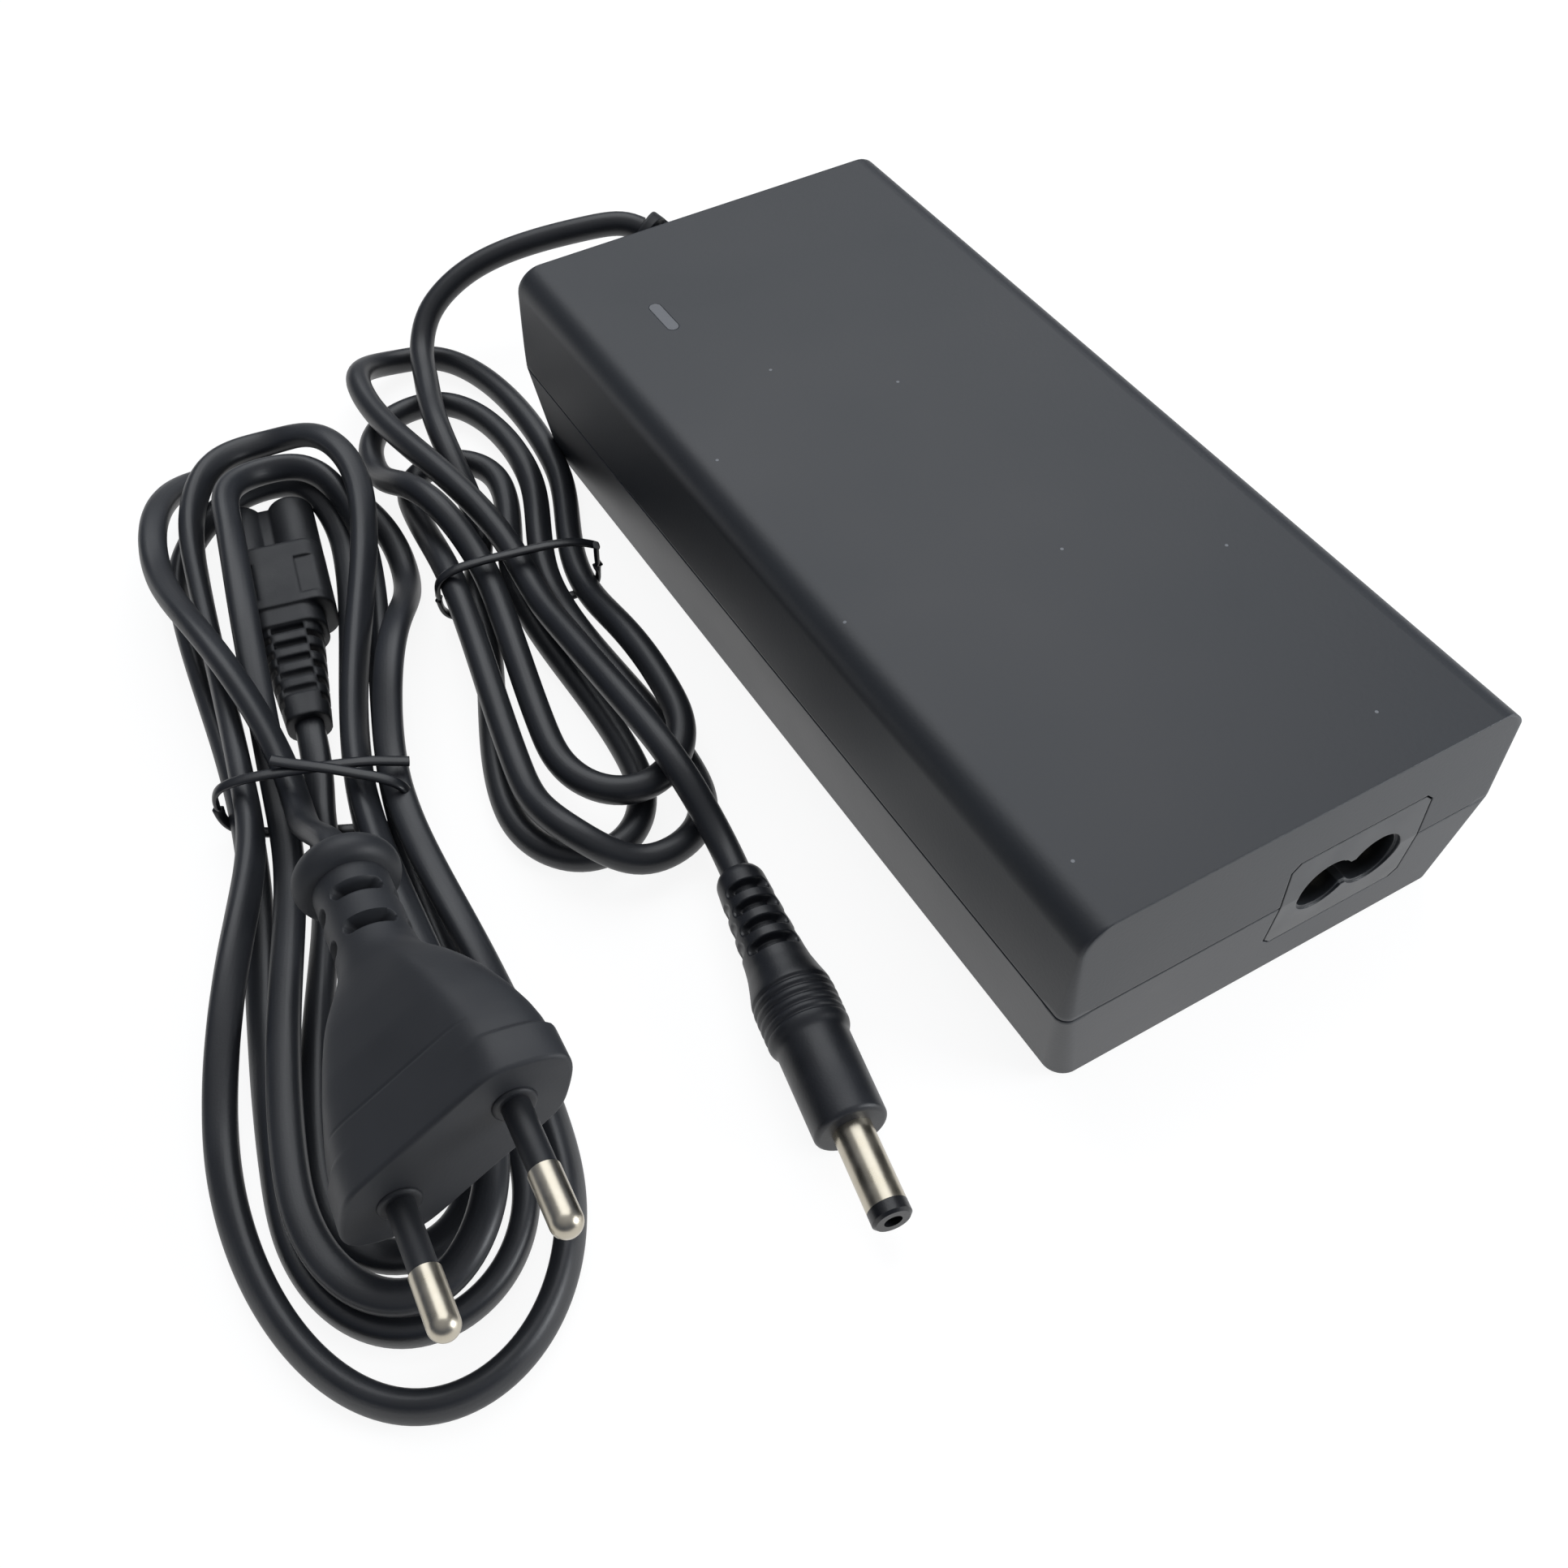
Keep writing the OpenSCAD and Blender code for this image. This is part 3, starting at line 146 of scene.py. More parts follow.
def directions(path):
    """Along, across and up at each point of a path: along is its slope, across is level, up completes
    them."""
    along = np.gradient(path, axis=0)
    along /= np.linalg.norm(along, axis=1, keepdims=True)
    side = np.cross([0.0, 0.0, 1.0], along)
    side /= np.linalg.norm(side, axis=1, keepdims=True)
    return along, side, np.cross(along, side)


def skin(name, grid, body, finish, corner=38):
    """A closed skin over rings of points in mm: grid[i, j] is point j of ring i. Four-sided faces join each
    ring to the next, and a fan from its middle closes each end ring. Its UV map holds the way round, 0 to 1,
    and the way along, in metres. Edges sharper than corner, in degrees, are shaded sharp."""
    rings, around = grid.shape[:2]
    spots = np.vstack([grid.reshape(-1, 3), grid[[0, -1]].mean(axis=1)]) / 1000
    i = np.arange(rings * around).reshape(rings, around)
    j = np.roll(i, -1, axis=1)
    quads = np.stack([i[:-1], j[:-1], j[1:], i[1:]], -1).reshape(-1, 4)
    ends = np.concatenate([np.stack([j[0], i[0], np.full(around, rings * around)], -1),
                           np.stack([i[-1], j[-1], np.full(around, rings * around + 1)], -1)])
    a, b, c, d = (spots[quads[:, k]] for k in range(4))
    volume = ((np.cross(a - a[0], b - a[0]) * (c - a[0])).sum()
              + (np.cross(a - a[0], c - a[0]) * (d - a[0])).sum())
    mesh = bpy.data.meshes.new(name)
    mesh.from_pydata(spots.tolist(), [], quads.tolist() + ends.tolist())
    measure = np.r_[0, np.cumsum(np.linalg.norm(np.diff(grid.mean(axis=1), axis=0), axis=1))]
    u = np.tile(np.arange(around) / around, (rings - 1, 1))
    v = np.repeat(measure[:, None] / 1000, around, axis=1)
    step = 1 / around
    uv = np.stack([np.stack([u, v[:-1]], -1), np.stack([u + step, v[:-1]], -1),
                   np.stack([u + step, v[1:]], -1), np.stack([u, v[1:]], -1)], 2).reshape(-1, 2)
    way = mesh.uv_layers.new(name="way")
    way.data.foreach_set("uv", np.vstack([uv, np.zeros((6 * around, 2))]).ravel())
    if volume < 0:
        mesh.flip_normals()
    mesh.shade_smooth()
    mesh.set_sharp_from_angle(angle=math.radians(corner))
    mesh.materials.append(finish)
    piece = bpy.data.objects.new(name, mesh)
    scene.collection.objects.link(piece)
    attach(piece, body)
    return piece


def tube(path, width, height, lean, around=28):
    """Rings of a sheath along a path in mm: a rounded oval of that width and height, whose wide side leans
    from level by the angle lean at each point."""
    _, side, up = directions(path)
    lean = np.broadcast_to(lean, len(path))[:, None]
    wide = side * np.cos(lean) + up * np.sin(lean)
    tall = up * np.cos(lean) - side * np.sin(lean)
    a = 2 * math.pi * np.arange(around) / around
    squared = 1 if width == height else 0.82
    c = (np.sign(np.cos(a)) * np.abs(np.cos(a)) ** squared)[None, :, None] * width / 2
    s = (np.sign(np.sin(a)) * np.abs(np.sin(a)) ** squared)[None, :, None] * height / 2
    return path[:, None] + wide[:, None] * c + tall[:, None] * s


def linear(code):
    """An sRGB hex colour as linear red, green, blue and alpha."""
    c = np.array([int(code[k:k + 2], 16) / 255 for k in (1, 3, 5)])
    return (*np.where(c <= 0.04045, c / 12.92, ((c + 0.055) / 1.055) ** 2.4).tolist(), 1.0)


def put(tree, kind, inputs={}, **settings):
    """Adds a node to a material: inputs gives a value or another node's output for each input, by its name or
    number, and settings gives the node's own settings."""
    made = tree.nodes.new("ShaderNode" + kind)
    for name, value in settings.items():
        setattr(made, name, value)
    for name, value in inputs.items():
        if isinstance(value, bpy.types.NodeSocket):
            tree.links.new(value, made.inputs[name])
        else:
            made.inputs[name].default_value = value
    return made


def blank(name, **sockets):
    """A new material with its shader's plain values set, and the tree and shader to go on from."""
    made = bpy.data.materials.new(name)
    made.use_nodes = True
    shader = made.node_tree.nodes["Principled BSDF"]
    for socket, value in sockets.items():
        shader.inputs[socket.replace("_", " ")].default_value = value
    return made, made.node_tree, shader


def two_tones(tree, mix, first, second, low=0.0, high=1.0):
    """The colour of a ramp that runs from first, where mix is low, to second, where mix is high."""
    ramp = put(tree, "ValToRGB", {"Fac": mix})
    for stop, place, code in zip(ramp.color_ramp.elements, (low, high), (first, second)):
        stop.position, stop.color = place, linear(code)
    return ramp.outputs[0]


def wire(tree, shader, colour, rough=None, normal=None):
    """Links a material's colour and, where they are given, its roughness and normal to its shader."""
    for socket, output in (("Base Color", colour), ("Roughness", rough), ("Normal", normal)):
        if output is not None:
            tree.links.new(output, shader.inputs[socket])


def sheath_pvc(name, light, dark):
    """Extruded flexible PVC: satin, with die lines that run along it and a slow unevenness of the pull. The
    lines are about 0.3 mm apart round the sheath, coarser than the real ones so that they show."""
    made, tree, shader = blank(name, IOR=1.54)
    way = put(tree, "UVMap", uv_map="way")
    stretch = put(tree, "Mapping", {"Vector": way.outputs[0], "Scale": (46, 60, 1)})
    lines = put(tree, "TexNoise", {"Vector": stretch.outputs[0], "Scale": 1.0, "Detail": 3.0})
    spot = put(tree, "TexCoord")
    cloud = put(tree, "TexNoise", {"Vector": spot.outputs["Object"], "Scale": 90.0, "Detail": 2.0})
    grain = put(tree, "TexNoise", {"Vector": spot.outputs["Object"], "Scale": 2600.0, "Detail": 1.0})
    tone = two_tones(tree, cloud.outputs["Fac"], dark, light, 0.35, 0.65)
    rough = put(tree, "MapRange", {"Value": lines.outputs["Fac"], "To Min": 0.34, "To Max": 0.5})
    height = put(tree, "Math", {0: lines.outputs["Fac"], 1: grain.outputs["Fac"]}, operation="ADD")
    relief = put(tree, "Bump", {"Height": height.outputs[0], "Strength": 0.22, "Distance": 0.00006})
    wire(tree, shader, tone, rough.outputs[0], relief.outputs[0])
    return made


dc_sheath = sheath_pvc("satin_pvc_round_sheath", "#26282c", "#1f2125")
dc_thick = 4.5
# the hank in mm in its own frame, which is turned and placed afterwards, with the stretches that lead in and
# out
dc_waist = [[-7.5, 3.2], [-0.2, 3.2], [-10.5, 8.2], [5.2, 3.2], [-4.8, 8.2], [10.5, 3.2], [1, 8.2]]
dc_bights = [[[-15, -43.7, 2.2], [-4.5, -57.5, 2.2], [5.5, -44, 2.2]],
             [[4.9, 29.4, 2.2], [-3.5, 39.1, 2.2], [-11.3, 31.4, 2.2]],
             [[-11.9, -43.9, 7.3], [2, -62.5, 4], [13.4, -50.3, 2.2]],
             [[10.1, 29.5, 3.1], [-2, 56.8, 2.2], [-15.3, 40.7, 4.2]],
             [[-6.1, -38, 7.2], [3.7, -51.7, 7.4], [14.4, -37.9, 7.4]],
             [[15.5, 30.5, 2.2], [-0.5, 71.5, 2.2], [-12.9, 58.8, 8.4]]]
dc_rises = [[0, 0, 0, 0], [0, 0, 0, 0], [0.2, 2.9, 0, 0], [0.6, 0, 0, 6], [0, 0, 0, 1.8], [0, 0, 0, 1.4]]
dc_head = [[0.2, 64, 7.8], [-0.4, 59.5, 7.6], [-1.5, 52, 7.4], [-2.4, 41, 7.9], [-2.2, 34, 6.6],
           [-1.6, 26, 3.6], [-2.4, 17, 2.5], [-5.6, 7, 2.9]]
dc_tail = [[1, 0, 8.2], [1.6, -9, 8.6], [3.2, -20, 10.2], [5.2, -32, 11.8], [7.1, -42, 12.6],
           [8.6, -50, 12.8], [10, -56.5, 11], [11.2, -61.5, 7.8], [11.8, -67.2, 5.9], [11.7, -71.5, 5.9]]
dc_at, dc_turn = np.array([-56.8, 43, 0]), -8.5
dc_loops = np.concatenate([dc_head, hank(dc_waist, dc_bights, dc_rises, dc_thick / 2), dc_tail])
dc_loops = dc_loops @ turn_z(dc_turn).T + dc_at
dc_free = [[-4.6, 105.2, 22.6], [-7.6, 106.7, 22.3], [-11.3, 108.4, 21.6], [-15.2, 110.2, 20.8],
           [-20.2, 112.2, 19.7], [-26.6, 114, 18.2], [-32.3, 114.7, 16.5], [-37.4, 114.2, 14.5],
           [-41.8, 112.9, 12.1]]


relief_length, relief_straight, relief_roll = 24.0, 14.0, math.radians(40)


def relief_axis(s):
    """The places s mm along the axis of the bend relief, the way it points there, and the side that it bends
    to: 14 mm straight out of the housing, then 45 degrees round to the left and up."""
    out, side = np.array([0, 1.0, 0]), np.array([-math.cos(relief_roll), 0, math.sin(relief_roll)])
    bend_radius = (relief_length - relief_straight) / math.radians(45)
    a = np.clip(s - relief_straight, 0, None)[:, None] / bend_radius
    place = (np.array([1.5, 79.5, 19.2])
             + out * (np.minimum(s, relief_straight)[:, None] + bend_radius * np.sin(a))
             + side * bend_radius * (1 - np.cos(a)))
    return place, out * np.cos(a) + side * np.sin(a), side * np.cos(a) - out * np.sin(a)


relief_tip, relief_aim, _ = relief_axis(np.array([relief_length]))
dc_route = through(np.concatenate([relief_tip, relief_tip + 1.8 * relief_aim, dc_free, dc_loops]))
dc_route[:, 2] = np.maximum(dc_route[:, 2], dc_thick / 2)
output_lead = skin("output_lead", tube(dc_route, dc_thick, dc_thick, 0), "adapter", dc_sheath)
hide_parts("dc_cord", "dc_hank")

# ---------------------------------------------------------------- mains lead
# The lead from the two-hole connector to the wall plug: a flat two-core PVC sheath, 4.6 by 3.5 mm and 1.49 m
# long. It is folded into a longer hank, and the flat sheath rolls over slowly as it goes round.
ac_sheath = sheath_pvc("satin_pvc_flat_sheath", "#292b2f", "#212327")
ac_width, ac_height = 4.6, 3.5
ac_waist = [[-0.6, 3.1], [6, 3.1], [-11.4, 3.1], [11, 3.1], [-6.1, 3.1], [6.5, 7.9], [-10.2, 7.9],
            [11.5, 7.9], [-3.3, 7.9]]
ac_bights = [[[-10.1, -60.5, 2.2], [-0.1, -73.3, 2.4], [9.2, -62.8, 2.2]],
             [[12.6, 61.5, 2.2], [2.8, 77.4, 4.8], [-15.7, 56.7, 2.2]],
             [[-15.5, -61.3, 2.2], [-0.3, -83.3, 2.2], [15.3, -64.8, 2.2]],
             [[16.2, 55.4, 5.2], [5.3, 74.8, 10.3], [-4.6, 65.3, 13]],
             [[-12.8, -61.8, 7.1], [-0.5, -80.9, 6.9], [12.2, -60.8, 7.7]],
             [[17.6, 64.8, 11.9], [2.1, 85, 8], [-11.8, 60.9, 7.5]],
             [[-21.6, -54, 2.7], [0.2, -92.9, 2.2], [20.6, -64.9, 2.3]],
             [[21.4, 50.9, 2.2], [-5.9, 86, 2.2], [-17.7, 59.6, 10.2]]]
ac_rises = [[0.2, 0, 0, 0], [0, 1.8, 0, 0], [0, 0, 0, 0], [0.5, 1.7, 0, 2.1], [1.8, 0, 0.9, 1.5],
            [0.6, 2, 1.5, 0.3], [3, 0, 0, 3.2], [6.8, 0, 0.3, 5.3]]
ac_at, ac_turn = np.array([-102.6, 14, 0]), -12
# the wall plug's own frame: x across, y from its face to its cord, z its thickness
lift, roll = math.radians(-4.8), math.radians(-31.6)
plug_frame = (turn_z(ac_turn) @ turn_z(7)
              @ np.array([[1, 0, 0], [0, math.cos(lift), -math.sin(lift)],
                          [0, math.sin(lift), math.cos(lift)]])
              @ np.array([[math.cos(roll), 0, math.sin(roll)], [0, 1, 0],
                          [-math.sin(roll), 0, math.cos(roll)]]))
plug_at = turn_z(ac_turn) @ np.array([8.25, -73.46, 24.2]) + ac_at
ac_head = np.array([[0.7, 18, 4.4], [0.7, 13.7, 4.4], [0.3, 7, 3.7]])
ac_mid = np.concatenate([ac_head, hank(ac_waist, ac_bights, ac_rises, ac_width / 2),
                         [[-3.1, 0, 7.9], [-2.6, -6, 10], [-0.9, -13, 15.4]]]) @ turn_z(ac_turn).T + ac_at
ac_tail = np.array([[0, 54.3, 0], [0, 50, 0]]) @ plug_frame.T + plug_at
ac_route = through(np.concatenate([ac_mid, ac_tail]))
ac_low = 2.35
ac_route[:, 2] = np.maximum(ac_route[:, 2], ac_low)
# the roll of the flat sheath: two slow waves along it
along = np.arange(len(ac_route))
ac_lean = 0.9 * np.sin(along / 61 + 0.6) + 0.7 * np.sin(along / 37 + 2.1)
# it is square to the connector at one end and to the plug at the other, over 40 mm each
start_share, end_share = np.clip(along / 40, 0, 1), np.clip((along[-1] - along) / 40, 0, 1)
ac_lean = ac_lean * start_share * end_share + (1 - end_share) * roll
mains_lead = skin("mains_lead", tube(ac_route, ac_width, ac_height, ac_lean), "mains_lead", ac_sheath)
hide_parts("mains_hank")


# ---------------------------------------------------------------- bend relief of the output lead
# A moulded PVC relief, 24 mm long, that tapers from 10 to 8.2 mm where the lead leaves the housing and bends
# with its pull. Slots cut into it from both sides, and half a step on from above and below, let it bend.
def notch(s, angle, at, width, facing, spread, radius):
    """How deep a slot is at way s and angle, from 0 to 1. On a body of that radius it is a stadium across
    the way, width long, that faces the direction facing and reaches spread degrees to either side, with
    rounded ends and eased edges."""
    turn = np.radians(np.abs((np.degrees(angle) - facing + 180) % 360 - 180))
    beyond = np.maximum((turn - math.radians(spread)) * radius + width / 2, 0)
    return ease(np.clip((width / 2 - np.hypot(s - at, beyond)) / 0.5 + 0.5, 0, 1))


def turned(s, radius, centre, axis, up, around):
    """Rings of a round piece: at way s along the axis each ring has that radius, which may change with the
    angle. The angle runs from the piece's side, 0, over its top, 90."""
    axis = np.asarray(axis, float) / np.linalg.norm(axis)
    side = np.cross(axis, up)
    side /= np.linalg.norm(side)
    top = np.cross(side, axis)
    a = 2 * math.pi * np.arange(around) / around
    radius = np.broadcast_to(radius, (len(s), around))[..., None]
    return (np.asarray(centre) + axis * s[:, None, None]
            + radius * (side * np.cos(a)[None, :, None] + top * np.sin(a)[None, :, None]))


def moulded_pvc(name, light, dark, rough_low, rough_high, grit, edge=0):
    """Moulded flexible PVC: a soft matt skin with a fine grit, whose grain is grit metres across, and faintly
    clouded. Sharp edges are shaded as if rounded to edge metres."""
    made, tree, shader = blank(name, IOR=1.52)
    spot = put(tree, "TexCoord")
    grain = put(tree, "TexNoise", {"Vector": spot.outputs["Object"], "Scale": 0.7 / grit, "Detail": 2.0})
    cloud = put(tree, "TexNoise", {"Vector": spot.outputs["Object"], "Scale": 130.0, "Detail": 3.0})
    tone = two_tones(tree, cloud.outputs["Fac"], dark, light, 0.35, 0.65)
    rough = put(tree, "MapRange", {"Value": cloud.outputs["Fac"], "From Min": 0.3, "From Max": 0.7,
                                   "To Min": rough_low, "To Max": rough_high})
    relief = put(tree, "Bump", {"Height": grain.outputs["Fac"], "Strength": 0.3, "Distance": 0.00005})
    if edge:
        rounded = put(tree, "Bevel", {"Radius": edge}, samples=6)
        tree.links.new(rounded.outputs[0], relief.inputs["Normal"])
    wire(tree, shader, tone, rough.outputs[0], relief.outputs[0])
    return made


relief_pvc = moulded_pvc("moulded_pvc_relief", "#232528", "#1d1f22", 0.42, 0.56, 0.00025)
s = np.arange(0, relief_length + 0.01, 0.12)
angle = 2 * math.pi * np.arange(96)[None, :] / 96
way, pitch = s[:, None], 19 / 6
flank = sum(notch(way, angle, 3.7 + i * pitch, 0.45 * pitch, f, 62, 4.4) for i in range(6) for f in (0, 180))
upper = sum(notch(way, angle, 5.05 + i * pitch, 0.3 * pitch, f, 56, 4.4) for i in range(6) for f in (90, 270))
rounding = 0.6
tip = rounding * (1 - np.sqrt(1 - np.clip((way - relief_length + rounding) / rounding, 0, 1) ** 2))
radius = 5 - 0.9 * np.minimum(way, relief_straight) / relief_straight - tip - 1.2 * (flank + upper)
place, aim, side = relief_axis(s)
level = np.cross(aim, side)
# the slots keep to the flanks and to the top: the angle counts from the flank, not from the side of the bend
angle = angle[..., None] + relief_roll
grid = place[:, None] + radius[..., None] * (-side[:, None] * np.cos(angle) + level[:, None] * np.sin(angle))
bend_relief = skin("bend_relief", grid, "adapter", relief_pvc, corner=70)
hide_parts("dc_relief")

# ---------------------------------------------------------------- output plug
# The straight barrel plug: a matt moulded body with a slotted sleeve, a swelling collar with five fine grip
# rings and a plain grip, and from it a nickel-plated barrel, 5.5 mm across, with a black insulator at its
# mouth.
plug_start = dc_loops[-1]
plug_aim = dc_loops[-1] - dc_loops[-2]
plug_aim[2] = 0
plug_pvc = moulded_pvc("moulded_pvc_output_plug", "#212328", "#1b1d21", 0.36, 0.5, 0.00025)
plug_length = 43.5
s = np.r_[np.arange(0, plug_length - 0.5, 0.11),
          plug_length - 0.5 + 0.5 * np.sin(np.linspace(0, math.pi / 2, 9))]
way, angle = s[:, None], 2 * math.pi * np.arange(144)[None, :] / 144
outline_way = [0, 0.8, 15.2, 17.2, 19.6, 21.4, 23, 28.6, 29.1, 29.5, 42.4, plug_length]
outline_radius = [3.1, 3.6, 4.5, 4.75, 5.3, 5.78, 5.9, 5.85, 5.6, 5.2, 5.12, 5.1]
radius = np.interp(s, outline_way, outline_radius)
for _ in range(24):
    radius[1:-1] = (radius[:-2] + 2 * radius[1:-1] + radius[2:]) / 4
rounding = 0.75
tip = rounding * (1 - np.sqrt(1 - np.clip((way - plug_length + rounding) / rounding, 0, 1) ** 2))
radius = radius[:, None] - tip
ring_pitch, slot_pitch = 1.35, 3.5
rings = sum(ease(np.clip(1 - np.abs(way - 22.1 - i * ring_pitch) / 0.5, 0, 1)) for i in range(5))
slots = sum(notch(way, angle, 4.1 + i * slot_pitch, 1.6, 90 + f, 52, 4.1) for i in range(4) for f in (0, 180))
waves = sum(notch(way, angle, 5.85 + i * slot_pitch, 2.0, f, 27, 4.1) for i in range(3) for f in (0, 180))
radius = radius - 0.3 * rings - 1.4 * slots - 0.4 * waves
plug_body = skin("output_plug_body", turned(s, radius, plug_start, plug_aim, (0, 0, 1), 144), "adapter",
                 plug_pvc, corner=70)
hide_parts("dc_plug_body")


def nickel_plate(name, light, dark, lines):
    """Bright nickel plate on turned brass: a mirror-like metal with faint turning marks lines metres apart
    along the piece's length, and slightly yellowed."""
    made, tree, shader = blank(name, Metallic=1.0)
    spot = put(tree, "TexCoord")
    marks = put(tree, "TexNoise", {"Vector": spot.outputs["Object"], "Scale": 0.7 / lines, "Detail": 2.0})
    haze = put(tree, "TexNoise", {"Vector": spot.outputs["Object"], "Scale": 420.0, "Detail": 2.0})
    tone = two_tones(tree, haze.outputs["Fac"], dark, light, 0.3, 0.7)
    rough = put(tree, "MapRange", {"Value": haze.outputs["Fac"], "From Min": 0.3, "From Max": 0.7,
                                   "To Min": 0.27, "To Max": 0.36})
    relief = put(tree, "Bump", {"Height": marks.outputs["Fac"], "Strength": 0.12, "Distance": 0.00002})
    wire(tree, shader, tone, rough.outputs[0], relief.outputs[0])
    return made


def dress(finish, *names):
    """Gives CAD nodes a material in place of their own."""
    for name in names:
        for slot in frame["nodes"][name].material_slots:
            slot.material = finish


plated = nickel_plate("bright_nickel_plate", "#c4bdae", "#b3ac9c", 0.0002)
dress(plated, "dc_plug_barrel")
dress(moulded_pvc("black_insulator", "#15161a", "#101115", 0.3, 0.4, 0.0002), "dc_plug_tip")

# ---------------------------------------------------------------- wall plug
# The flat two-pin mains plug: a bell of matt PVC moulded over the cord and the pins. It is 35 mm wide at a
# short rim by its face, narrows in an S to a slotted neck, and ends in a thick round ring that the cord
# leaves.
bell_pvc = moulded_pvc("moulded_pvc_wall_plug", "#2b2d31", "#26282c", 0.5, 0.62, 0.0003)
s = np.concatenate([0.7 * (1 - np.cos(np.linspace(0, math.pi / 2, 8))), np.arange(0.8, 50.21, 0.16)])
way, angle = s[:, None], 2 * math.pi * np.arange(220)[None, :] / 220
half_width = np.interp(s, [0, 6, 8, 10.7, 15, 19.5, 23, 25.5, 27.5, 29, 30.5, 32.5, 36.4, 46],
                       [17.2, 17.1, 16.9, 16.3, 14.9, 13.0, 11.1, 9.5, 7.9, 6.7, 5.95, 5.5, 5.35, 5.3])
half_thick = np.interp(s, [0, 16, 22, 28, 33, 40], [6.85, 6.85, 6.45, 5.75, 5.4, 5.3])
for _ in range(14):
    half_width[1:-1] = (half_width[:-2] + 2 * half_width[1:-1] + half_width[2:]) / 4
    half_thick[1:-1] = (half_thick[:-2] + 2 * half_thick[1:-1] + half_thick[2:]) / 4
# the rim stands 0.75 mm proud and drops between 5.4 and 6.3 mm from the face
half_width = (half_width + 0.75 * (1 - ease(np.clip((s - 5.4) / 0.9, 0, 1))))[:, None]
half_thick = half_thick[:, None]
# a flat top, a slope to the flank and an upright flank: the distance to each face along the ray, joined
# softly
flat = half_width - 6.2 * half_width / 17.65
slope_x, slope_z = half_thick - 1.9, half_width - flat
reach = np.hypot(slope_x, slope_z)
face_off = (flat * slope_x + half_thick * slope_z) / reach
c, sn = np.abs(np.cos(angle)), np.abs(np.sin(angle))
power = 16
bell = ((sn / half_thick) ** power + (c / half_width) ** power
        + ((c * slope_x + sn * slope_z) / reach / face_off) ** power) ** (-1 / power)
# the neck turns oval between 23 and 32 mm from the face
oval = 1 / np.sqrt((c / half_width) ** 2 + (sn / half_thick) ** 2)
blend = ease(np.clip((way - 23) / 9, 0, 1))
radius = bell * (1 - blend) + oval * blend
rounding = 0.7
radius = radius - rounding * (1 - np.sqrt(1 - np.clip((rounding - way) / rounding, 0, 1) ** 2))
# two rings of four bend windows, turned a little from the flat
windows = sum(notch(way, angle, at, 2.0, f, 38, 5.4) for at in (34.9, 41.2) for f in (52, 232))
windows = windows + sum(notch(way, angle, at, 2.0, f, 28, 5.4) for at in (34.4, 40.3) for f in (142, 322))
radius = radius - 2.9 * windows
# a fine parting line across both broad faces
line = ease(np.clip(1 - np.abs(way - 9.3) / 0.3, 0, 1))
radius = radius - 0.12 * line * ease(np.clip((62 - np.abs(np.degrees(angle) % 180 - 90)) / 4, 0, 1))
# the ring that the cord leaves
ring_way, ring_thick, cord_hole = 47.7, 2.5, 3.0
tyre = 4.9 + np.sqrt(np.clip(ring_thick ** 2 - (way - ring_way) ** 2, 0, None))
tyre = np.where(np.abs(way - ring_way) < ring_thick, tyre, 0)
radius = np.where(way > 45.3, np.maximum(tyre, np.where(way > ring_way, cord_hole, radius)), radius)
local = np.stack([radius * np.cos(angle), np.broadcast_to(way, radius.shape), radius * np.sin(angle)], -1)
wall_plug = skin("wall_plug_body", local @ plug_frame.T + plug_at, "mains_lead", bell_pvc, corner=70)
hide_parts("mains_plug_body")
# a very dark ring round the root of each pin, put there as painted shade round the pins
sleeve_and_shade_ring_pvc = moulded_pvc("pvc_pin_sleeve_and_shade_ring", "#1b1d22", "#15171b", 0.46, 0.58, 0.0003)
for hand, label in ((-1, "left"), (1, "right")):
    t = np.linspace(0, math.pi / 2, 8)
    s = np.r_[-0.6, 0.5 * np.sin(t), 0.5]
    radius = np.r_[2.8, 2.3 + 0.5 * np.cos(t), 2.0][:, None]
    root = np.array([hand * 9.3, 0, 0]) @ plug_frame.T + plug_at
    ring = turned(s, radius, root, plug_frame @ np.array([0, -1.0, 0]), plug_frame @ np.array([0, 0, 1.0]),
                  48)
    skin(f"pin_shade_ring_{label}", ring, "mains_lead", sleeve_and_shade_ring_pvc)
dress(sleeve_and_shade_ring_pvc, "mains_plug_sleeves")
dress(plated, "mains_plug_pins")

# ---------------------------------------------------------------- two-hole connector of the mains lead
# The connector that fits the housing's socket: a flat grip and a slotted flat relief moulded in matt PVC,
# and a two-lobed nose with a contact tube in each lobe.
connector_pvc = moulded_pvc("moulded_pvc_connector", "#1c1e22", "#16181c", 0.45, 0.58, 0.0003, 0.0009)
dress(connector_pvc, "c7_connector")
dress(plated, "c7_contacts")


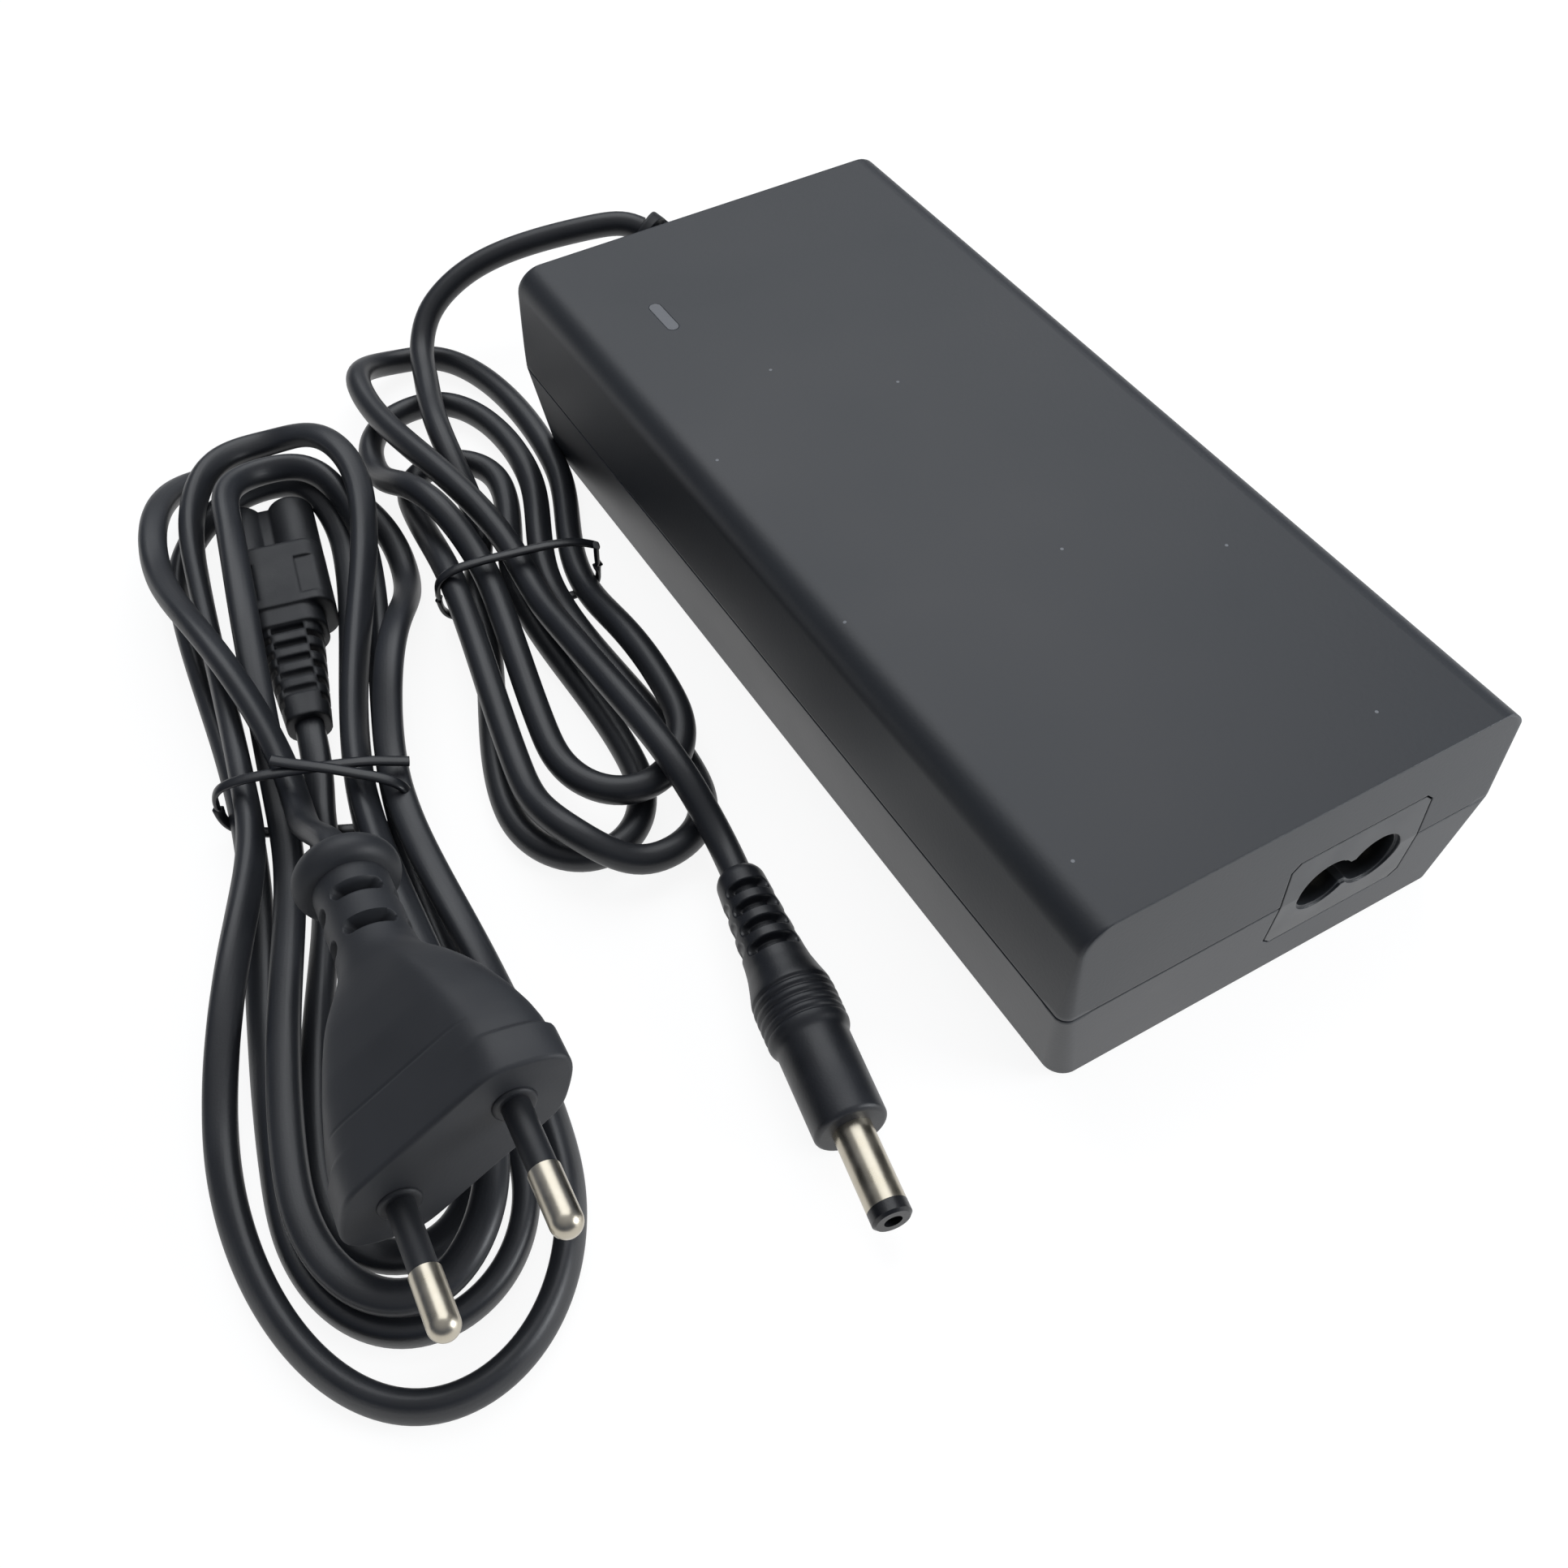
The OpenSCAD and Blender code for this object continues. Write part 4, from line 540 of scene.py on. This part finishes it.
# ---------------------------------------------------------------- wire ties
# Each hank is held by a twist tie: thin steel wire in a flat strip of black PVC, 1.8 by 0.9 mm. It goes once
# round the hank, and its two ends cross on top and stand off.
def tie_route(width, height, first, last, sway):
    """The strip from end to end, in the hank's own frame: round the hank as a rounded rectangle, from the
    angle first, in degrees from the right, down to the angle last. Its first pass over the top slopes along
    the hank by sway, and its last pass slopes the other way by half as much, so that they cross in the
    middle. Both ends stand off the hank over their last 30 degrees."""
    stand_off, end_part, squareness, floor_gap = 1.2, 30, 0.55, 0.55
    a = np.arange(first, last, -4.0)
    c, sn = np.cos(np.radians(a)), np.sin(np.radians(a))
    off = stand_off * (np.clip((a - first + end_part) / end_part, 0, 1) ** 2
                       + np.clip((last + end_part - a) / end_part, 0, 1) ** 2)
    x = (width / 2 + off) * np.sign(c) * np.abs(c) ** squareness
    z = height / 2 + floor_gap + (height / 2 + off) * np.sign(sn) * np.abs(sn) ** squareness
    share = 2 * x / width
    under = np.interp(-a, [0, 180], [-sway, -0.5 * sway])
    y = np.where(a > 0, -sway * share, np.where(a < -180, 0.5 * sway * share, under))
    return np.stack([x, y, z], 1)


tie_pvc = moulded_pvc("satin_pvc_tie", "#1b1d22", "#15171b", 0.3, 0.42, 0.0003)
for name, node, body, turn, at, width, height, first, last, sway in (
        ("output_lead_tie", "dc_tie", "adapter", dc_turn - 5, dc_at, 26.8, 11.6, 30, -350, 1.0),
        ("mains_lead_tie", "mains_tie", "mains_lead", ac_turn - 14, ac_at + [0.2, 2, 0], 28.8, 11.9, 98, -338,
         3.0)):
    route = through(tie_route(width, height, first, last, sway) @ turn_z(turn).T + at, 0.4, 3)
    tie = skin(name, tube(route, 1.8, 0.9, 0, 16), body, tie_pvc)
    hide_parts(node)


# ---------------------------------------------------------------- housing
# Two welded shells of moulded ABS in charcoal, 159 by 74 by 37 mm. The mould's spark-eroded surface gives
# them a fine even grit and a satin shine. A shadow line runs round the seam, and the lower shell's corners
# are rounded.
def charcoal_abs(name, light, dark):
    """Moulded ABS with a spark-eroded grit, 0.4 mm a grain, which is twice the real size so that it shows.
    Its edges are shaded as if rounded to 0.35 mm, and to 1.2 mm at the four upright corners, and painted a
    little brighter there as a highlight. On what faces up, pale dust specks of half a millimetre lie a few
    centimetres apart."""
    made, tree, shader = blank(name, IOR=1.5)
    spot = put(tree, "TexCoord")
    grain = put(tree, "TexNoise", {"Vector": spot.outputs["Object"], "Scale": 1700.0, "Detail": 2.0})
    cloud = put(tree, "TexNoise", {"Vector": spot.outputs["Object"], "Scale": 28.0, "Detail": 3.0})
    tone = two_tones(tree, cloud.outputs["Fac"], dark, light, 0.35, 0.65)
    where = put(tree, "SeparateXYZ", {"Vector": spot.outputs["Object"]})
    far = [put(tree, "Math", {0: where.outputs[axis]}, operation="ABSOLUTE") for axis in ("X", "Y")]
    reach = [put(tree, "MapRange", {"Value": far[k].outputs[0], "From Min": edge - 0.004,
                                    "From Max": edge - 0.003}) for k, edge in enumerate((0.0365, 0.079))]
    corner = put(tree, "Math", {0: reach[0].outputs[0], 1: reach[1].outputs[0]}, operation="MULTIPLY")
    softness = put(tree, "MapRange", {"Value": corner.outputs[0], "To Min": 0.00035, "To Max": 0.0012})
    rounded = put(tree, "Bevel", {"Radius": softness.outputs[0]}, samples=8)
    flat_way = put(tree, "NewGeometry")
    turn = put(tree, "VectorMath", {0: rounded.outputs[0], 1: flat_way.outputs["Normal"]},
               operation="DOT_PRODUCT")
    edge = put(tree, "MapRange", {"Value": turn.outputs["Value"], "From Min": 0.995, "From Max": 0.9})
    dust = put(tree, "TexVoronoi", {"Vector": spot.outputs["Object"], "Scale": 55.0}, voronoi_dimensions="2D")
    near = put(tree, "Math", {0: dust.outputs["Distance"], 1: 0.014}, operation="LESS_THAN")
    pick = put(tree, "SeparateColor", {"Color": dust.outputs["Color"]})
    some = put(tree, "Math", {0: pick.outputs[0], 1: 0.35}, operation="LESS_THAN")
    facing = put(tree, "SeparateXYZ", {"Vector": flat_way.outputs["Normal"]})
    level = put(tree, "Math", {0: facing.outputs["Z"], 1: 0.95}, operation="GREATER_THAN")
    speck = put(tree, "Math", {0: near.outputs[0], 1: some.outputs[0]}, operation="MULTIPLY")
    speck = put(tree, "Math", {0: speck.outputs[0], 1: level.outputs[0]}, operation="MULTIPLY")
    # painted highlight: at the edges the colour is mixed up to three tenths of the way to a paler grey
    edge_highlight_share = put(tree, "Math", {0: edge.outputs[0], 1: 0.3}, operation="MULTIPLY")
    edge_highlit = put(tree, "Mix", {0: edge_highlight_share.outputs[0], 6: tone, 7: linear("#54575c")}, data_type="RGBA")
    dusty = put(tree, "Mix", {0: speck.outputs[0], 6: edge_highlit.outputs[2], 7: linear("#777a7e")},
                data_type="RGBA")
    rough = put(tree, "MapRange", {"Value": cloud.outputs["Fac"], "From Min": 0.3, "From Max": 0.7,
                                   "To Min": 0.44, "To Max": 0.5})
    relief = put(tree, "Bump", {"Height": grain.outputs["Fac"], "Normal": rounded.outputs[0],
                                "Strength": 0.28, "Distance": 0.00006})
    wire(tree, shader, dusty.outputs[2], rough.outputs[0], relief.outputs[0])
    return made


abs_grit = charcoal_abs("spark_eroded_charcoal_abs", "#2e3135", "#2a2c30")
dress(abs_grit, "top_shell")
# the lower shell's upright corners are rounded by a form that is 0.01 mm clear of its flat walls, given at
# each height in mm by its half width, half length and corner radius; it cuts a copy whose doubled points are
# joined
levels = np.array([[-0.5, 33.01, 76.61, 1.7], [0, 33.01, 76.61, 1.7], [1.2, 34.41, 77.91, 3.1],
                   [19.2, 37.01, 79.51, 1.85], [22, 37.01, 79.51, 1.85]])
a = np.linspace(0, math.pi / 2, 13)
corner_radius = levels[:, 3, None, None]
quarter = levels[:, None, 1:3] - corner_radius + corner_radius * np.stack([np.cos(a), np.sin(a)], 1)
ring = np.concatenate([quarter, quarter[:, ::-1] * [-1, 1], -quarter, quarter[:, ::-1] * [1, -1]], 1)
ring = np.concatenate([ring, np.broadcast_to(levels[:, None, :1], (*ring.shape[:2], 1))], 2)
i = np.arange(ring[..., 0].size).reshape(ring.shape[:2])
j = np.roll(i, -1, axis=1)
quads = np.stack([i[:-1], j[:-1], j[1:], i[1:]], -1).reshape(-1, 4).tolist()
mesh = bpy.data.meshes.new("corner_form")
mesh.from_pydata((ring.reshape(-1, 3) / 1000).tolist(), [], [*quads, i[0, ::-1].tolist(), i[-1].tolist()])
corner_form = bpy.data.objects.new("corner_form", mesh)
loose = bmesh.new()
loose.from_mesh(frame["nodes"]["bottom_shell"].data)
bmesh.ops.remove_doubles(loose, verts=loose.verts, dist=1e-6)
mesh = bpy.data.meshes.new("lower_housing")
loose.to_mesh(mesh)
loose.free()
lower_housing = bpy.data.objects.new("lower_housing", mesh)
cut = lower_housing.modifiers.new("corners", "BOOLEAN")
cut.operation, cut.solver, cut.object = "INTERSECT", "EXACT", corner_form
for piece in (corner_form, lower_housing):
    scene.collection.objects.link(piece)
bpy.context.view_layer.update()
mesh = bpy.data.meshes.new_from_object(lower_housing.evaluated_get(bpy.context.evaluated_depsgraph_get()))
lower_housing.modifiers.clear()
lower_housing.data = mesh
bpy.data.objects.remove(corner_form)
mesh.shade_flat()
mesh.polygons.foreach_set("material_index", [0] * len(mesh.polygons))
mesh.materials.clear()
mesh.materials.append(abs_grit)
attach(lower_housing, "adapter")
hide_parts("bottom_shell")

# ---------------------------------------------------------------- socket
# The two-pin appliance inlet: a smooth ABS block flush with the end face, with a deep two-lobed socket whose
# inside is painted near black as shade, and two nickel-plated pins.
made, tree, shader = blank("smooth_abs_inlet", IOR=1.5)
spot = put(tree, "TexCoord")
parts = put(tree, "SeparateXYZ", {"Vector": spot.outputs["Object"]})
# painted shade: the colour runs from the block's charcoal to near black with depth into the socket
socket_shade = put(tree, "MapRange", {"Value": parts.outputs["Y"], "From Min": -0.0792, "From Max": -0.0775})
cloud = put(tree, "TexNoise", {"Vector": spot.outputs["Object"], "Scale": 200.0, "Detail": 2.0})
grain = put(tree, "TexNoise", {"Vector": spot.outputs["Object"], "Scale": 2400.0, "Detail": 2.0})
tone = put(tree, "Mix", {0: socket_shade.outputs[0], 6: linear("#2e3135"), 7: linear("#08090b")}, data_type="RGBA")
rough = put(tree, "MapRange", {"Value": cloud.outputs["Fac"], "To Min": 0.34, "To Max": 0.46})
rounded = put(tree, "Bevel", {"Radius": 0.0003}, samples=6)
relief = put(tree, "Bump", {"Height": grain.outputs["Fac"], "Normal": rounded.outputs[0], "Strength": 0.15,
                            "Distance": 0.00004})
wire(tree, shader, tone.outputs[2], rough.outputs[0], relief.outputs[0])
dress(made, "inlet_block")
dress(plated, "inlet_pins")

# ---------------------------------------------------------------- indicator
# A pill-shaped light pipe of milky polycarbonate, set flush in the top and unlit. It stands over an LED of
# clear resin on the board.
made, tree, shader = blank("milky_light_pipe", IOR=1.58, Roughness=0.4, Coat_Weight=0.3, Coat_Roughness=0.2)
spot = put(tree, "TexCoord")
milk = put(tree, "TexNoise", {"Vector": spot.outputs["Object"], "Scale": 500.0, "Detail": 2.0})
wire(tree, shader, two_tones(tree, milk.outputs["Fac"], "#3f434a", "#474b53"))
dress(made, "led_window")
made, tree, shader = blank("clear_led_resin", IOR=1.55)
spot = put(tree, "TexCoord")
milk = put(tree, "TexNoise", {"Vector": spot.outputs["Object"], "Scale": 900.0})
wire(tree, shader, two_tones(tree, milk.outputs["Fac"], "#c9ccb8", "#e4e6d8"))
dress(made, "led")


# ---------------------------------------------------------------- circuit board and its parts
# Inside, out of sight: a lacquered glass-fibre board with the mains filter, the rectifier, the transformer
# with its yellow tape, two aluminium heatsinks and the output capacitors.
def part_finish(name, first, second, scale, rough, metallic=0.0, stretch=(1, 1, 1), bump=0.1):
    """A finish in two close tones mixed by noise of that scale per metre, stretched where the real one has
    lines, such as brushing, winding or weave, with the same noise as its relief."""
    made, tree, shader = blank(name, Roughness=rough, Metallic=metallic)
    spot = put(tree, "TexCoord")
    drawn = put(tree, "Mapping", {"Vector": spot.outputs["Object"], "Scale": stretch})
    noise = put(tree, "TexNoise", {"Vector": drawn.outputs[0], "Scale": scale, "Detail": 3.0})
    relief = put(tree, "Bump", {"Height": noise.outputs["Fac"], "Strength": bump, "Distance": 0.0001})
    wire(tree, shader, two_tones(tree, noise.outputs["Fac"], first, second, 0.4, 0.6),
         normal=relief.outputs[0])
    return made


dress(part_finish("lacquered_fibre_board", "#1f4a2b", "#2a5c38", 260.0, 0.35, stretch=(1, 3, 1)),
      "circuit_board")
dress(part_finish("sintered_ferrite", "#2c2d30", "#37383b", 1500.0, 0.7, bump=0.3), "transformer_core",
      "choke_core")
dress(part_finish("yellow_polyester_tape", "#d2a21c", "#e2b838", 300.0, 0.3, stretch=(1, 1, 8)),
      "transformer_winding")
dress(part_finish("enamelled_copper_wire", "#a4582a", "#c97a45", 900.0, 0.25, 1.0, (1, 1, 0.05), 0.5),
      "choke_windings")
dress(part_finish("potted_capacitor_box", "#c39a24", "#cfa936", 120.0, 0.4), "x_capacitor")
dress(part_finish("printed_shrink_sleeve", "#15171f", "#20232e", 60.0, 0.2), "bulk_capacitor",
      "output_capacitors")
dress(part_finish("moulded_epoxy_resin", "#1a1a1c", "#232325", 1800.0, 0.6, bump=0.3), "bridge_rectifier",
      "power_transistors", "controller_chip")
dress(part_finish("pale_epoxy_resin", "#d2d1ca", "#dedcd4", 1500.0, 0.5), "optocoupler")
dress(part_finish("fuse_glass_and_caps", "#b9bdc0", "#d0d3d5", 500.0, 0.12), "fuse")
dress(part_finish("brushed_sheet_aluminium", "#b6b8bb", "#cfd1d3", 700.0, 0.35, 1.0, (1, 0.06, 1), 0.2),
      "heatsink_primary", "heatsink_secondary")
dress(part_finish("red_wire_insulation", "#7a1712", "#8f1f18", 400.0, 0.4), "dc_wires")

# ---------------------------------------------------------------- table, backdrop and lamps
# A white table that runs on as the backdrop, a large soft light over and behind the object, a small one near
# the socket end, and a room that is dim and cool near the horizon, which the rounded edges show as their
# dark sides.
ground = bpy.data.meshes.new("table")
ground.from_pydata([(-3, -3, -0.0003), (3, -3, -0.0003), (3, 3, -0.0003), (-3, 3, -0.0003)], [],
                   [(0, 1, 2, 3)])
table = bpy.data.objects.new("table", ground)
scene.collection.objects.link(table)
made, tree, shader = blank("white_table", Roughness=0.8)
shader.inputs["Base Color"].default_value = linear("#f4f4f3")
ray = put(tree, "LightPath")
seen = put(tree, "Math", {0: ray.outputs["Is Camera Ray"], 1: ray.outputs["Is Glossy Ray"]},
           operation="MAXIMUM")
seen = put(tree, "Math", {0: seen.outputs[0], 1: ray.outputs["Is Transmission Ray"]}, operation="MAXIMUM")
share = put(tree, "Math", {0: seen.outputs[0], 1: 0.8}, operation="MULTIPLY")
white = put(tree, "Emission", {"Color": (1, 1, 1, 1), "Strength": 1.12})
both = put(tree, "MixShader", {0: share.outputs[0], 1: shader.outputs[0], 2: white.outputs[0]})
tree.links.new(both.outputs[0], tree.nodes["Material Output"].inputs["Surface"])
ground.materials.append(made)

room = bpy.data.worlds.new("room")
scene.world = room
room.use_nodes = True
tree = room.node_tree
ray = put(tree, "LightPath")
sky = put(tree, "TexCoord")
height = put(tree, "SeparateXYZ", {"Vector": sky.outputs["Generated"]})
grade = put(tree, "ValToRGB", {"Fac": height.outputs["Z"]})
grade.color_ramp.elements[0].position, grade.color_ramp.elements[0].color = 0.0, (0.10, 0.12, 0.17, 1)
grade.color_ramp.elements[1].position, grade.color_ramp.elements[1].color = 0.9, (0.62, 0.63, 0.66, 1)
grade.color_ramp.elements.new(0.42).color = (0.17, 0.19, 0.24, 1)
dim = put(tree, "Background", {"Color": grade.outputs[0], "Strength": 0.72})
plain = put(tree, "Background", {"Color": (1, 1, 1, 1), "Strength": 1.0})
both = put(tree, "MixShader", {0: ray.outputs["Is Camera Ray"], 1: dim.outputs[0], 2: plain.outputs[0]})
tree.links.new(both.outputs[0], tree.nodes["World Output"].inputs["Surface"])


def lamp(name, place, aim, size, power, colour):
    """A square soft light of that size in metres, at a place and facing a point."""
    data = bpy.data.lights.new(name, "AREA")
    data.size, data.energy, data.color = size, power, colour
    lit = bpy.data.objects.new(name, data)
    lit.visible_camera = False
    back = np.asarray(place, float) - np.asarray(aim, float)
    back /= np.linalg.norm(back)
    side = np.cross([0.0, 0.0, 1.0], back)
    side /= np.linalg.norm(side)
    over = np.cross(back, side)
    lit.matrix_world = Matrix([[side[i], over[i], back[i], place[i]] for i in range(3)] + [[0, 0, 0, 1]])
    scene.collection.objects.link(lit)


lamp("ceiling_softbox", (0.35, 0.75, 1.15), (-0.03, 0, 0), 1.3, 10.4, (0.95, 0.975, 1.0))
lamp("front_fill", (0.3, -0.33, 0.17), (0.02, -0.08, 0.015), 0.25, 1.5, (0.95, 0.975, 1.0))

scene.view_settings.view_transform = "Standard"
bpy.context.view_layer.update()
